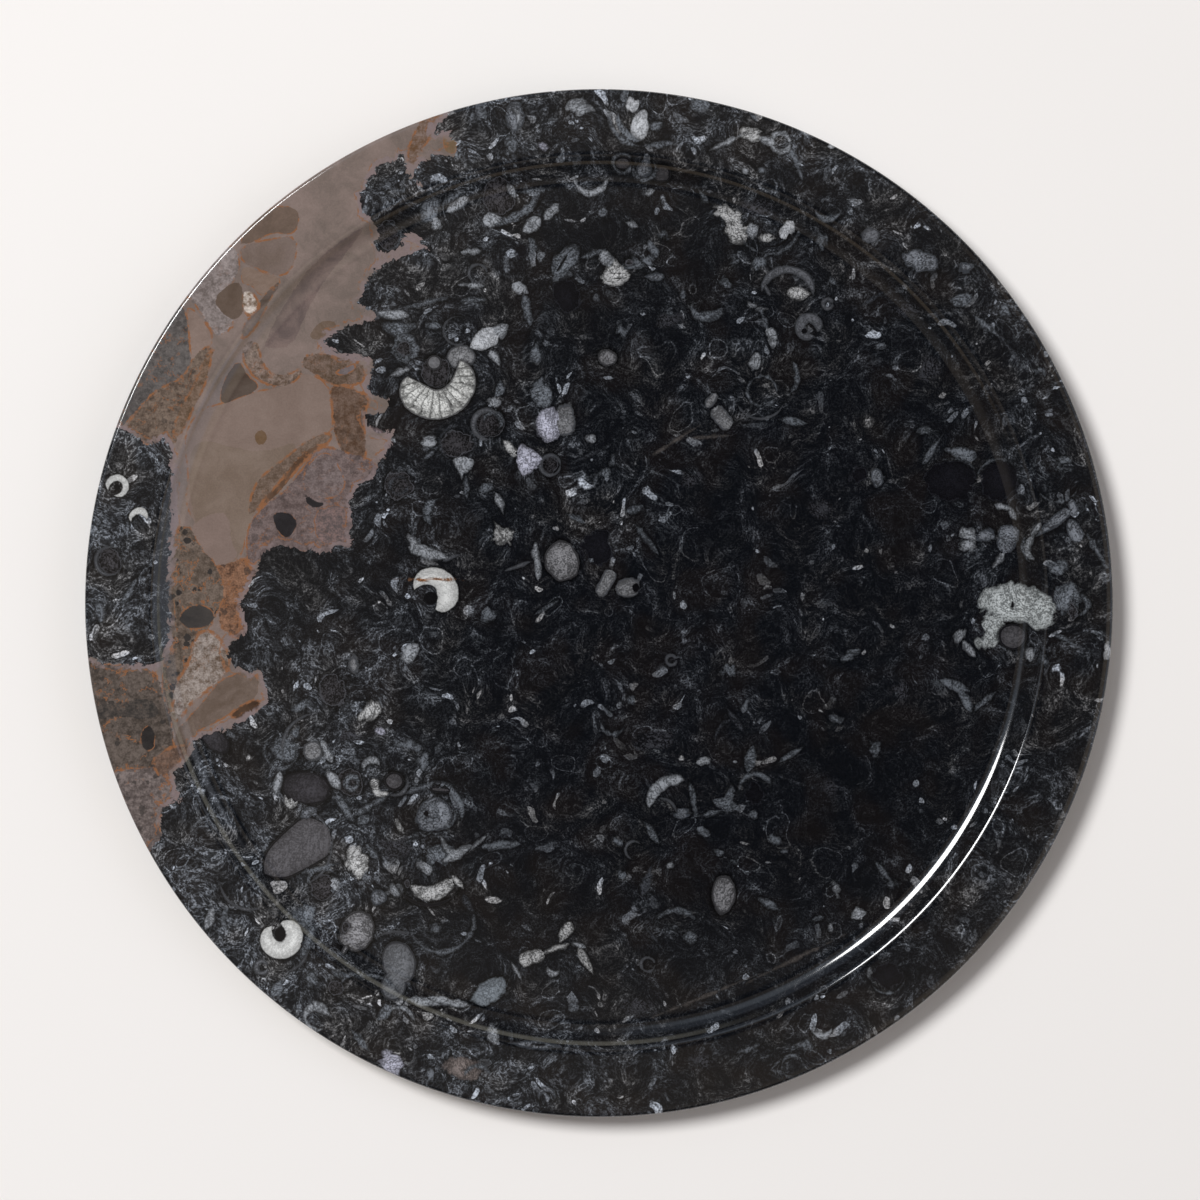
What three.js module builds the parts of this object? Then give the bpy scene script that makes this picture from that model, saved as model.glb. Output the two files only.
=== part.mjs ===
// A round fossil plate: a dish turned and polished from one slab of black fossil limestone.
// It has a flat rim, a smooth step down to a shallow flat well, and an underside that tapers
// from a rounded outer edge to a broad flat foot. Units are millimetres, +Z is up, and the
// origin is the centre of the foot, on the surface the plate stands on.

import * as THREE from "three";
import { mergeVertices } from "three/addons/utils/BufferGeometryUtils.js";

// Driving dimensions.
const PLATE_DIAMETER = 305;
const PLATE_HEIGHT = 14;
const RIM_WIDTH = 19.2; // flat part of the rim, from the outer edge to the top of the step
const WELL_DEPTH = 4;
const EDGE_THICKNESS = 8; // height of the outer edge between the rim and the taper below
const FOOT_DIAMETER = 214;

// Smaller shapes of the turned outline.
const STEP_SLOPE = 50; // steepest angle of the step, in degrees from level
const STEP_TOP_RADIUS = 3; // convex rounding where the rim turns down into the step
const RIM_EDGE_RADIUS = 1; // rounding between the rim and the outer edge
const LOWER_EDGE_RADIUS = 2; // rounding between the outer edge and the taper
const FOOT_EDGE_RADIUS = 3; // rounding between the taper and the foot
const ARC_STEPS = 4; // straight pieces in each rounding
const TURN_STEPS = 96; // straight pieces in one turn of the lathe

const STONE = { color: 0x1b1c20, roughness: 0.12, metalness: 0 };

const radians = THREE.MathUtils.degToRad;

// Points of an arc, in steps of equal angle. Angle 0 points outwards and 90 points up.
function arc(centreRadius, centreHeight, arcRadius, fromDegrees, toDegrees) {
  const points = [];
  for (let i = 0; i <= ARC_STEPS; i++) {
    const angle = radians(THREE.MathUtils.lerp(fromDegrees, toDegrees, i / ARC_STEPS));
    points.push(
      new THREE.Vector2(
        centreRadius + arcRadius * Math.cos(angle),
        centreHeight + arcRadius * Math.sin(angle),
      ),
    );
  }
  return points;
}

// The outline of half the plate, from the centre of the foot round the edge to the centre
// of the well. X is the distance from the axis and Y is the height.
function plateOutline() {
  const plateRadius = PLATE_DIAMETER / 2;
  const footRadius = FOOT_DIAMETER / 2;
  const wellHeight = PLATE_HEIGHT - WELL_DEPTH;
  const lowerEdgeHeight = PLATE_HEIGHT - EDGE_THICKNESS;

  // The taper runs from the foot up to the outer edge, and touches both roundings.
  const taperAngle = THREE.MathUtils.radToDeg(
    Math.atan2(lowerEdgeHeight, plateRadius - LOWER_EDGE_RADIUS - footRadius),
  );
  const lowerEdgeCentre = lowerEdgeHeight + LOWER_EDGE_RADIUS;

  // The step's two arcs share one slope, so together they drop the depth of the well.
  const drop = 1 - Math.cos(radians(STEP_SLOPE));
  const stepFootRadius = WELL_DEPTH / drop - STEP_TOP_RADIUS;
  const stepTop = plateRadius - RIM_WIDTH;
  const stepRun = Math.sin(radians(STEP_SLOPE)) * (STEP_TOP_RADIUS + stepFootRadius);

  const footEdge = arc(
    footRadius - FOOT_EDGE_RADIUS * Math.sin(radians(taperAngle)),
    FOOT_EDGE_RADIUS,
    FOOT_EDGE_RADIUS,
    270,
    270 + taperAngle,
  ).filter((_, i) => i === 0 || i === ARC_STEPS);
  const lowerEdge = arc(
    plateRadius - LOWER_EDGE_RADIUS,
    lowerEdgeCentre,
    LOWER_EDGE_RADIUS,
    270 + taperAngle,
    360,
  );
  const rimEdge = arc(
    plateRadius - RIM_EDGE_RADIUS,
    PLATE_HEIGHT - RIM_EDGE_RADIUS,
    RIM_EDGE_RADIUS,
    0,
    90,
  );
  const stepTopArc = arc(
    stepTop,
    PLATE_HEIGHT - STEP_TOP_RADIUS,
    STEP_TOP_RADIUS,
    90,
    90 + STEP_SLOPE,
  );
  const stepFootArc = arc(
    stepTop - stepRun,
    wellHeight + stepFootRadius,
    stepFootRadius,
    STEP_SLOPE - 90,
    -90,
  ).slice(1);

  return [
    new THREE.Vector2(0, 0),
    ...footEdge,
    ...lowerEdge,
    ...rimEdge,
    ...stepTopArc,
    ...stepFootArc,
    new THREE.Vector2(0, wellHeight),
  ];
}

// The lathe turns about Y, so the solid is stood up to turn about Z.
function turnedPlate() {
  const turned = new THREE.LatheGeometry(plateOutline(), TURN_STEPS);
  turned.deleteAttribute("normal");
  turned.deleteAttribute("uv");
  turned.rotateX(Math.PI / 2);
  return mergeVertices(turned, 1e-4);
}

const plate = new THREE.Mesh(turnedPlate(), new THREE.MeshStandardMaterial(STONE));
plate.name = "plate";

const fossilPlate = new THREE.Group();
fossilPlate.add(plate);

export default fossilPlate;
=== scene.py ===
# %% [markdown]
# # Ammonite fossil plate
# The plate is one piece: a slab of black limestone, turned on a lathe and polished until it
# shines like glass. The limestone is packed with shells that were cut through by the saw, and a
# tan vein of later stone crosses its left side. So there is one mesh to make and one finish, and
# nearly all the work is in the finish. The script goes from the shape to the drawing of the
# fossils, then to the stone, and last to the floor, the lights and the camera.

# %% Load the frame
import math

import bmesh
import bpy
import numpy as np
from mathutils import Matrix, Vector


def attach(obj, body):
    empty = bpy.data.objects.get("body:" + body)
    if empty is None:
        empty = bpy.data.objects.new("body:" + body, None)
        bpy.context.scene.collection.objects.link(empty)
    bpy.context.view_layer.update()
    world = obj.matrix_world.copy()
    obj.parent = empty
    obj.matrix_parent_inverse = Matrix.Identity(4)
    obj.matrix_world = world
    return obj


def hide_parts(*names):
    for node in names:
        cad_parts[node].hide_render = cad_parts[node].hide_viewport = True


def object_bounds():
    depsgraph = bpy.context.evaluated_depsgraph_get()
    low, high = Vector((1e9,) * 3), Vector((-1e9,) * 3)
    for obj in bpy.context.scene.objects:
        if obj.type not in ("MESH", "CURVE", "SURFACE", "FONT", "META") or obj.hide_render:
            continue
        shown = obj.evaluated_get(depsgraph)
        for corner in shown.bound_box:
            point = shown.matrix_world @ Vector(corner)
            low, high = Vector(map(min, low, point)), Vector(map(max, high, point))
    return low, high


MM = 0.001
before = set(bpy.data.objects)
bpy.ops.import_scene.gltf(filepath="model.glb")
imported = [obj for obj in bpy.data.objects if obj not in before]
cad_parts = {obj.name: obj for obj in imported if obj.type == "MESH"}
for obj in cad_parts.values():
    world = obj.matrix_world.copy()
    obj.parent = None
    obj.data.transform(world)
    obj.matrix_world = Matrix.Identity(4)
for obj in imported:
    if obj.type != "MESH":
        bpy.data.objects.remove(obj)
cad_low, cad_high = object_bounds()
plate_radius = (cad_high.x - cad_low.x) / 2 / MM
plate_height = (cad_high.z - cad_low.z) / MM
print(f"frame: radius {plate_radius:.1f} mm, height {plate_height:.1f} mm")

# %% [markdown]
# ## The outline of the turned slab
# A turned dish is drawn as half of its cross-section. The rim is flat, a convex rounding turns it
# down into the step, and a wider concave rounding brings it level again in the well. The two
# roundings share one slope, so their heights add up to the depth of the well, and that fixes the
# radius of the concave one. The points are about a millimetre apart even where the outline is
# straight, because the mesh also carries the drawing of the fossils.

# %% Measures of the outline, in millimetres and radians
RIM_WIDTH = 19.2
WELL_DEPTH = 4.0
EDGE_THICKNESS = 8.0
FOOT_RADIUS = 107.0
STEP_SLOPE = math.radians(50)
STEP_TOP_RADIUS = 3.0
RIM_EDGE_RADIUS = 1.0
LOWER_EDGE_RADIUS = 2.0
PITCH = 1.1
WALL_PITCH = 2.0
UNDERSIDE_PITCH = 30.0
UP = math.radians(90)

well_height = plate_height - WELL_DEPTH
step_top = plate_radius - RIM_WIDTH
step_foot_radius = WELL_DEPTH / (1 - math.cos(STEP_SLOPE)) - STEP_TOP_RADIUS
well_radius = step_top - math.sin(STEP_SLOPE) * (STEP_TOP_RADIUS + step_foot_radius)
taper_run = plate_radius - LOWER_EDGE_RADIUS - FOOT_RADIUS
taper_angle = math.atan2(plate_height - EDGE_THICKNESS, taper_run)
print(f"outline: well radius {well_radius:.1f}, concave rounding {step_foot_radius:.1f}")


# %% Straight stretches and roundings
def line(start, end, pitch=PITCH):
    """Points along a straight stretch of the outline, without its last one."""
    steps = max(1, round(math.dist(start, end) / pitch))
    parts = [i / steps for i in range(steps)]
    return [(start[0] + (end[0] - start[0]) * p, start[1] + (end[1] - start[1]) * p) for p in parts]


def rounding(centre, radius, start, end, steps):
    """Points along an arc of the outline, from one angle to another."""
    angles = [start + (end - start) * i / steps for i in range(steps + 1)]
    return [(centre[0] + radius * math.cos(a), centre[1] + radius * math.sin(a)) for a in angles]


step_foot = rounding(
    (well_radius, well_height + step_foot_radius), step_foot_radius, -UP, STEP_SLOPE - UP, 10
)
step_brow = rounding(
    (step_top, plate_height - STEP_TOP_RADIUS), STEP_TOP_RADIUS, UP + STEP_SLOPE, UP, 7
)
rim_edge = rounding(
    (plate_radius - RIM_EDGE_RADIUS, plate_height - RIM_EDGE_RADIUS), RIM_EDGE_RADIUS, UP, 0, 5
)
lower_edge_height = plate_height - EDGE_THICKNESS + LOWER_EDGE_RADIUS
lower_edge = rounding(
    (plate_radius - LOWER_EDGE_RADIUS, lower_edge_height),
    LOWER_EDGE_RADIUS,
    0,
    taper_angle - UP,
    5,
)

# %% [markdown]
# ## From rings to a slab
# On the lathe the slab turns against a still tool. Spin would do the same with a line of edges,
# but it slows down as the mesh grows, so here each ring of edges is extruded to the next point of
# the outline and scaled to its radius. A ring near the centre needs far fewer points than the rim,
# so the slab is made in stretches, each with twice as many points as the one inside it, and Bridge
# Edge Loops closes the gap between them. The underside carries no fine drawing and needs few.

# %% Grow the slab ring by ring
TURNS = 768
JOINTS = (18, 36, 72)
stretches = [
    (TURNS // 8, line((PITCH, well_height), (JOINTS[0], well_height))),
    (TURNS // 4, line((JOINTS[0] + PITCH, well_height), (JOINTS[1], well_height))),
    (TURNS // 2, line((JOINTS[1] + PITCH, well_height), (JOINTS[2], well_height))),
    (
        TURNS,
        line((JOINTS[2] + PITCH, well_height), (well_radius, well_height))
        + step_foot
        + step_brow[1:]
        + line((step_top + PITCH, plate_height), (plate_radius - RIM_EDGE_RADIUS, plate_height))
        + rim_edge
        + line(rim_edge[-1], lower_edge[0], WALL_PITCH)[1:]
        + lower_edge,
    ),
    (TURNS // 8, line((FOOT_RADIUS, 0), (0, 0), UNDERSIDE_PITCH)),
]


def grow_stretch(slab, turns, outline):
    """Makes one stretch of the slab, and returns the edges of its first and last rings."""
    (radius, height), *rest = outline
    start = Matrix.Translation((0, 0, height * MM))
    bmesh.ops.create_circle(slab, segments=turns, radius=radius * MM, matrix=start)
    first_ring = ring = [edge for edge in slab.edges if edge.is_wire]
    for next_radius, next_height in rest:
        grown = bmesh.ops.extrude_edge_only(slab, edges=ring)["geom"]
        ring = [part for part in grown if isinstance(part, bmesh.types.BMEdge)]
        verts = [part for part in grown if isinstance(part, bmesh.types.BMVert)]
        growth = next_radius / radius
        bmesh.ops.scale(slab, vec=(growth, growth, 1), verts=verts)
        bmesh.ops.translate(slab, vec=(0, 0, (next_height - height) * MM), verts=verts)
        radius, height = next_radius, next_height
    return first_ring, ring


slab = bmesh.new()
rings = []
for turns, outline in stretches:
    rings += grow_stretch(slab, turns, outline)
for outer, inner in zip(rings[1:-1:2], rings[2:-1:2]):
    bmesh.ops.bridge_loops(slab, edges=outer + inner)
bmesh.ops.holes_fill(slab, edges=rings[0] + rings[-1], sides=TURNS)
bmesh.ops.recalc_face_normals(slab, faces=slab.faces[:])
for face in slab.faces:
    face.smooth = True
open_edges = sum(edge.is_boundary for edge in slab.edges)
volume = slab.calc_volume(signed=True) / MM**3 / 1000
print(f"slab: {len(slab.faces)} faces, {open_edges} open edges, {volume:.0f} cubic centimetres")

# %% Slab as an object
plate_mesh = bpy.data.meshes.new("fossil plate")
slab.to_mesh(plate_mesh)
slab.free()
plate = bpy.data.objects.new("fossil_plate", plate_mesh)
bpy.context.scene.collection.objects.link(plate)
plate_mesh.calc_loop_triangles()
print(f"slab: {len(plate_mesh.loop_triangles)} triangles")

# %% [markdown]
# ## Measuring tables of the mesh
# The fossils and the vein are drawn by numbers stored on the mesh: how far each point is from an
# outline, or where it lies in the frame of the nearest shell. The colour itself is worked out
# later, in the finish, so it stays sharp however coarse the mesh is. NumPy holds all the points
# at once, which is quicker than a loop over them.

# %% Points, corners and faces as arrays
point_count = len(plate_mesh.vertices)
corner_count = len(plate_mesh.loops)
face_count = len(plate_mesh.polygons)
points = np.empty(point_count * 3)
plate_mesh.vertices.foreach_get("co", points)
points = points.reshape(-1, 3) / MM
corner_points = np.empty(corner_count, int)
plate_mesh.loops.foreach_get("vertex_index", corner_points)
corner_totals = np.empty(face_count, int)
plate_mesh.polygons.foreach_get("loop_total", corner_totals)
face_normals = np.empty(face_count * 3)
plate_mesh.polygons.foreach_get("normal", face_normals)
face_normals = face_normals.reshape(-1, 3)
corner_faces = np.repeat(np.arange(face_count), corner_totals)
corners = points[corner_points]
first_corners = np.concatenate(([0], np.cumsum(corner_totals)[:-1]))
middles = np.add.reduceat(corners, first_corners) / corner_totals[:, None]


def store(name, domain, values):
    """Keeps one vector per point, corner or face on the mesh, for the finish to read."""
    layer = plate_mesh.attributes.new(name, "FLOAT_VECTOR", domain)
    layer.data.foreach_set("vector", np.ascontiguousarray(values, np.float32).ravel())


# %% [markdown]
# ## A flat map for the baked colours
# An exported model keeps its colours in one square picture. The top of the plate, with its edge
# wall spread round it, fills the square, and the underside, which is plain, goes small into a
# corner.

# %% Unfold the plate
WALL_SPREAD = 1.0
MAP_MARGIN = 0.99
UNDER_CENTRE = np.array((0.915, 0.085))
UNDER_SIZE = 0.08

radii = np.hypot(corners[:, 0], corners[:, 1])
spread = radii + WALL_SPREAD * np.clip(plate_height - corners[:, 2], 0, None) * (radii > step_top)
directions = corners[:, :2] / np.maximum(radii, 1e-6)[:, None]
map_radius = plate_radius + WALL_SPREAD * EDGE_THICKNESS
top_places = 0.5 + directions * spread[:, None] / map_radius * 0.5 * MAP_MARGIN
under_places = UNDER_CENTRE + corners[:, :2] / plate_radius * UNDER_SIZE
is_under = (face_normals[:, 2] < -0.5)[corner_faces]
unfolded = plate_mesh.uv_layers.new(name="OFBake")
places = np.where(is_under[:, None], under_places, top_places)
unfolded.data.foreach_set("uv", np.ascontiguousarray(places, np.float32).ravel())
print(f"map: {places.min():.3f} to {places.max():.3f}")

# %% [markdown]
# ## The tan vein
# Long after the shells were buried, the rock on the left side cracked and filled with tan and brown
# stone. Each kind of filling is listed by the outline of its patch, in millimetres from the centre
# of the plate, and an outline only has the points that its shape needs: the crinkled borders come
# from noise in the finish. The number stored for each point is its distance to the outline,
# negative inside it. Two patches on the step hold painted shade of the step over the stone, and one
# of them also its painted lilac sheen.

# %% Outlines of the vein and its fillings
VEIN_OUTLINES = {
    "vein": [
        (-44.5, 146), (-47.5, 142.5), (-49.5, 138), (-45.5, 141), (-42.5, 137), (-40.5, 133.5),
        (-43.5, 132), (-47.5, 133), (-51.5, 132), (-53.5, 129.5), (-54, 126), (-52, 123),
        (-55.5, 124), (-57, 128), (-58, 133.5), (-60, 131.5), (-63.5, 130.5), (-66.5, 128),
        (-69, 124), (-70, 120), (-69.5, 116.5), (-67.5, 114), (-66, 110.5), (-66, 104.5),
        (-61.5, 104), (-58, 105), (-59, 109.5), (-55.5, 109.5), (-50.5, 106), (-54.5, 103.5),
        (-59.5, 103), (-63.5, 101), (-68, 97), (-69.5, 95), (-70, 92), (-72, 89), (-69.5, 87.5),
        (-65, 87), (-68.5, 84), (-74, 82.5), (-77.5, 81), (-82.5, 77.5), (-79, 75), (-75.5, 73.5),
        (-71.5, 74.5), (-68.5, 73), (-66.5, 70), (-68, 66), (-68.5, 63.5), (-66, 61.5),
        (-62.5, 60), (-63, 57), (-66.5, 55.5), (-69.5, 57), (-70, 55), (-66.5, 50), (-62, 51.5),
        (-61, 48.5), (-63.5, 44.5), (-65.5, 40.5), (-66, 38), (-70, 36), (-74, 31.5), (-73, 23.5),
        (-74, 20.5), (-73, 17), (-75, 15), (-77.5, 16.5), (-82, 15), (-86.5, 15.5), (-90, 17),
        (-95.5, 17.5), (-98.5, 16.5), (-101, 14), (-102.5, 8), (-104.5, 4), (-106.5, 2),
        (-107, -2.5), (-104.5, -9), (-109, -10), (-111, -13), (-110, -16.5), (-107.5, -19.5),
        (-104, -20.5), (-101, -19.5), (-98.5, -23), (-98.5, -30), (-103, -34), (-107.5, -36),
        (-114, -39), (-119.5, -40), (-120.5, -44), (-123.5, -48), (-127, -49.5), (-125.5, -55),
        (-123.5, -57.5), (-128, -60), (-131, -64), (-129, -70.5), (-136, -75.5), (-149.5, -70.5),
        (-158.5, -42.5), (-158.5, -16), (-152.5, -16), (-145.5, -18), (-138.5, -18),
        (-130, -19.5), (-127.8, -11), (-128, 0), (-128, 9), (-127.6, 18), (-127.2, 27),
        (-126.5, 33), (-126.5, 41), (-127.5, 46), (-130, 49), (-133, 46), (-137, 48.5), (-141, 52),
        (-149.5, 53), (-154, 64.5), (-138.5, 102), (-108.5, 128.5), (-70.5, 147.5),
    ],
    "grey stone": [
        (-123.5, 88.5), (-121.5, 82.5), (-121.5, 75.5), (-120.5, 69.5), (-124.5, 66),
        (-131, 63.5), (-136.5, 57.5), (-142, 51.5), (-151, 49), (-146.5, 87), (-129, 93),
    ],
    "brown shade": [
        (-107.5, 106.5), (-100, 116.5), (-93, 118), (-88.5, 116), (-90, 109), (-97, 110),
        (-103, 106.5),
    ],
    "facet": [
        (-106.5, 106), (-97, 108), (-89.5, 109), (-90, 101), (-93.5, 96.5), (-100, 98.5),
        (-106, 101),
    ],
    "tan facet": [
        (-106, 100.5), (-100, 98), (-93.5, 96.5), (-97, 92), (-100, 90.5), (-103, 94.5),
        (-106, 94.5),
    ],
    "speckled band": [
        (-123.5, 91.5), (-111.5, 106.5), (-107, 105), (-106.5, 97.5), (-113, 90.5), (-107, 83),
        (-113, 78.5), (-116, 82.5), (-120.5, 90),
    ],
    "olive wedge": [
        (-114.5, 90), (-110, 94.5), (-106, 95.5), (-105, 87), (-107.5, 83.5), (-111.5, 85.5),
    ],
    "brown band": [
        (-100, 91), (-93.5, 96.5), (-97.5, 90), (-101.5, 82), (-106.5, 77), (-105, 83.5),
        (-101, 86.5),
    ],
    "cream crystal": [
        (-105.5, 93.5), (-102, 91.5), (-100.5, 88), (-104, 84.5), (-105.5, 87),
    ],
    "pink band": [
        (-122.5, 88), (-119.5, 86.5), (-113.5, 78.5), (-117.5, 74), (-120.5, 69), (-121.5, 79.5),
    ],
    "brown rock": [
        (-141, 51.5), (-136.5, 57.5), (-131, 63.5), (-123.5, 66.5), (-120, 73.5), (-114.5, 77),
        (-116, 71), (-121.5, 61), (-123.5, 54.5), (-126, 45.5), (-132, 46), (-137, 48.5),
    ],
    "ochre band": [
        (-115.5, 74.5), (-114, 76), (-115.5, 70), (-117.5, 62.5), (-121, 56.5), (-124, 49.5),
        (-126.5, 48.5), (-125, 56.5), (-120, 64.5), (-117.5, 71.5),
    ],
    # painted shade and lilac sheen of the step, in a band along its foot
    "lilac step shade and sheen": [
        (-100, 76.5), (-94, 88), (-85, 101), (-73, 110), (-69, 112), (-75, 104), (-82, 95.5),
        (-87, 86.5), (-91, 76.5), (-97, 75.5),
    ],
    "smooth fill": [
        (-111.5, 59.5), (-102.5, 63), (-94, 64), (-88, 69), (-80.5, 65.5), (-79, 57.5),
        (-79.5, 50), (-88, 46), (-95, 40), (-101, 34), (-103.5, 28), (-105.5, 22), (-105.5, 16),
        (-109, 10.5), (-113, 11), (-116.5, 15), (-118.5, 20.5), (-121, 25.5), (-123, 29.5),
        (-122, 37), (-122.5, 44), (-123, 47), (-122, 52), (-118.5, 57.5),
    ],
    "lower fill": [
        (-121, 46.5), (-116.5, 48.5), (-109.5, 46.5), (-100, 44.5), (-89, 48.5), (-93, 42),
        (-100, 33), (-104.5, 22), (-107, 12.5), (-113.5, 11), (-117.5, 16.5), (-120.5, 24.5),
        (-122, 36.5),
    ],
    "pink fill": [
        (-122, 22), (-116.5, 26.5), (-110, 27), (-109.5, 18), (-106.5, 13.5), (-114, 10.5),
        (-118.5, 14), (-121, 17),
    ],
    "olive rim of the fill": [
        (-79.5, 51), (-86, 49), (-93.5, 43), (-99.5, 38.5), (-103, 34), (-104.5, 25.5),
        (-101.5, 28), (-98.5, 31.5), (-93.5, 37), (-89.5, 40.5), (-83.5, 45.5), (-79.5, 48.5),
    ],
    "rust line": [
        (-79.5, 47.5), (-85, 45.5), (-90, 39.5), (-94, 34), (-100, 28.5), (-101.5, 27),
        (-100, 30.5), (-94.5, 36.5), (-90.5, 42), (-85.5, 46.5),
    ],
    "fill spots": [
        (-102.5, 50.5), (-100, 52), (-98.5, 49.5), (-100, 46.5), (-102, 47.5),
    ],
    "brown inlet": [
        (-80, 65), (-74.5, 64.5), (-67.5, 61), (-70, 56.5), (-69.5, 49), (-69, 41.5), (-73.5, 41),
        (-78, 47.5), (-79.5, 57.5),
    ],
    "olive inlet": [
        (-89, 71), (-86, 74.5), (-78, 73.5), (-70.5, 72), (-69, 66), (-74.5, 64.5), (-80.5, 65),
        (-84.5, 68),
    ],
    "lilac lens": [
        (-79, 68.5), (-75.5, 70), (-72, 71.5), (-72.5, 69.5), (-76, 67.5),
    ],
    "olive blob": [
        (-86.5, 79), (-83.5, 83.5), (-80.5, 84), (-77.5, 83.5), (-79.5, 79.5), (-84, 78),
    ],
    # painted shade under the step, darkening the olive stone there
    "olive in painted step shade": [
        (-113, 61), (-110.5, 68), (-107, 72.5), (-104.5, 67.5), (-101, 65), (-102.5, 62.5),
        (-108.5, 60.5), (-111.5, 59),
    ],
    "crystal ridge": [
        (-106, 77), (-101.5, 78), (-101, 74), (-98.5, 68.5), (-93.5, 67.5), (-88.5, 70),
        (-88.5, 68), (-92, 64.5), (-98, 64.5), (-103, 67.5), (-105.5, 71.5),
    ],
    "breccia": [
        (-105, 21.5), (-101, 28), (-93, 33.5), (-88.5, 39.5), (-83.5, 46.5), (-78.5, 46),
        (-74.5, 44.5), (-65.5, 42), (-65.5, 36.5), (-73, 31), (-72, 16.5), (-79.5, 14),
        (-95.5, 16.5), (-101, 12.5), (-104.5, 11),
    ],
    "pink crystals": [
        (-88.5, 37.5), (-84, 44.5), (-79.5, 44.5), (-77, 40.5), (-75, 34.5), (-79.5, 30.5),
        (-87, 32.5),
    ],
    "grey breccia": [
        (-85, 27), (-78, 29.5), (-73, 27), (-73, 20), (-78, 17), (-84, 18.5),
    ],
    "teardrop": [
        (-97, 27), (-92, 27), (-89.5, 24), (-91, 20.5), (-93.5, 19), (-96.5, 23),
    ],
    "dashes": [
        (-87, 33), (-85.5, 30.5), (-80.5, 29.5), (-85, 28), (-87.5, 30.5),
    ],
    "orange crust": [
        (-114.5, 11), (-109, 12), (-106.5, 14), (-104, 11), (-101.5, 9), (-103.5, 5), (-107, 1),
        (-106, -5.5), (-103.5, -11), (-107.5, -11), (-112.5, -7.5), (-113.5, -1), (-112, 4),
    ],
    "olive matrix": [
        (-129, 18.5), (-122.5, 24.5), (-118.5, 16.5), (-113.5, 11), (-111, 4), (-113, -2.5),
        (-117, -9), (-120.5, -13.5), (-122.5, -20.5), (-126.5, -29), (-127, -33.5), (-130, -33.5),
        (-129, -11),
    ],
    "dark oval": [
        (-125, -4), (-122.5, -1), (-117, -0.5), (-114, -3.5), (-115.5, -6.5), (-120, -8),
        (-123.5, -7),
    ],
    "white crystals": [
        (-120.5, -10), (-116, -7.5), (-111.5, -12), (-109, -18.5), (-113, -23), (-116, -26),
        (-121.5, -29.5), (-125, -35.5), (-127, -33.5), (-126, -23.5), (-122, -18.5),
    ],
    "grey-tan fill": [
        (-113, -23), (-105.5, -20), (-101, -22), (-101.5, -28), (-108.5, -32), (-113, -35),
        (-120, -38.5), (-123.5, -45.5), (-126, -47), (-126, -38.5), (-121.5, -33.5),
        (-116, -27.5),
    ],
    "brown blob": [
        (-110, -33), (-105.5, -30), (-101.5, -28.5), (-100.5, -30.5), (-104, -34),
        (-108.5, -34.5),
    ],
    "speckled rim": [
        (-157, -16), (-145.5, -18.5), (-138.5, -18), (-132, -19), (-129, -27.5), (-126.5, -36.5),
        (-126, -44.5), (-128, -49.5), (-141, -50), (-149.5, -51.5), (-158.5, -35),
    ],
    "dark stripe": [
        (-150.5, -30.5), (-142, -29.5), (-133, -28), (-130, -32.5), (-133, -34.5), (-142, -33.5),
        (-149.5, -34.5),
    ],
    "dark inclusion": [
        (-135.5, -37.5), (-133, -36), (-131.5, -39.5), (-132, -43.5), (-134.5, -44), (-136, -41),
    ],
    "pink rim": [
        (-145, -50), (-138.5, -49), (-127.5, -48.5), (-126, -55.5), (-123.5, -57.5), (-128, -60),
        (-131, -64.5), (-129, -70.5), (-135.5, -75.5), (-146.5, -65),
    ],
    "rusty knot": [
        (-133, -46.5), (-128, -43), (-122.5, -42), (-122, -45.5), (-126.5, -49), (-130, -52),
    ],
    "pocket": [
        (-52, 144.5), (-48.5, 145.5), (-46.5, 144), (-49.5, 139), (-52.5, 134.5), (-55, 129),
        (-57, 131.5), (-56, 137),
    ],
    "tan patch": [
        (-46.5, 138.5), (-44.5, 140.5), (-42, 136.5), (-42.5, 133), (-45.5, 133.5),
    ],
}


REACH = 6.0
OUT_OF_REACH = 99.0


def distance_to_outline(places, outline):
    """Signed distance of many places to a closed outline, negative inside it."""
    distances = np.full(len(places), OUT_OF_REACH)
    low = np.min(outline, axis=0) - REACH
    high = np.max(outline, axis=0) + REACH
    close = np.all((places > low) & (places < high), axis=1)
    places = places[close]
    nearest = np.full(len(places), np.inf)
    inside = np.zeros(len(places), bool)
    for start, end in zip(outline, outline[1:] + outline[:1]):
        start = np.array(start, float)
        run = np.array(end, float) - start
        offset = places - start
        along = np.clip(offset @ run / (run @ run), 0, 1)
        nearest = np.minimum(nearest, np.hypot(*(offset - along[:, None] * run).T))
        crosses = (start[1] > places[:, 1]) != (start[1] + run[1] > places[:, 1])
        level = run[1] if run[1] else 1e-9
        inside ^= crosses & (offset[:, 0] < run[0] * offset[:, 1] / level)
    distances[close] = np.where(inside, -nearest, nearest)
    return distances


def rounded(outline):
    """Cuts each corner of an outline, so that it bends where it used to turn sharply."""
    cut = []
    for (ax, ay), (bx, by) in zip(outline, outline[1:] + outline[:1]):
        cut += [(0.75 * ax + 0.25 * bx, 0.75 * ay + 0.25 * by)]
        cut += [(0.25 * ax + 0.75 * bx, 0.25 * ay + 0.75 * by)]
    return cut


vein_names = list(VEIN_OUTLINES)
vein_distances = [
    distance_to_outline(points[:, :2], rounded(VEIN_OUTLINES[name])) for name in vein_names
]
while len(vein_distances) % 3:
    vein_distances.append(np.full(point_count, OUT_OF_REACH))
for first in range(0, len(vein_distances), 3):
    store(f"vein {first // 3}", "POINT", np.stack(vein_distances[first : first + 3], axis=1))
print(f"vein: {len(vein_names)} outlines")
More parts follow.
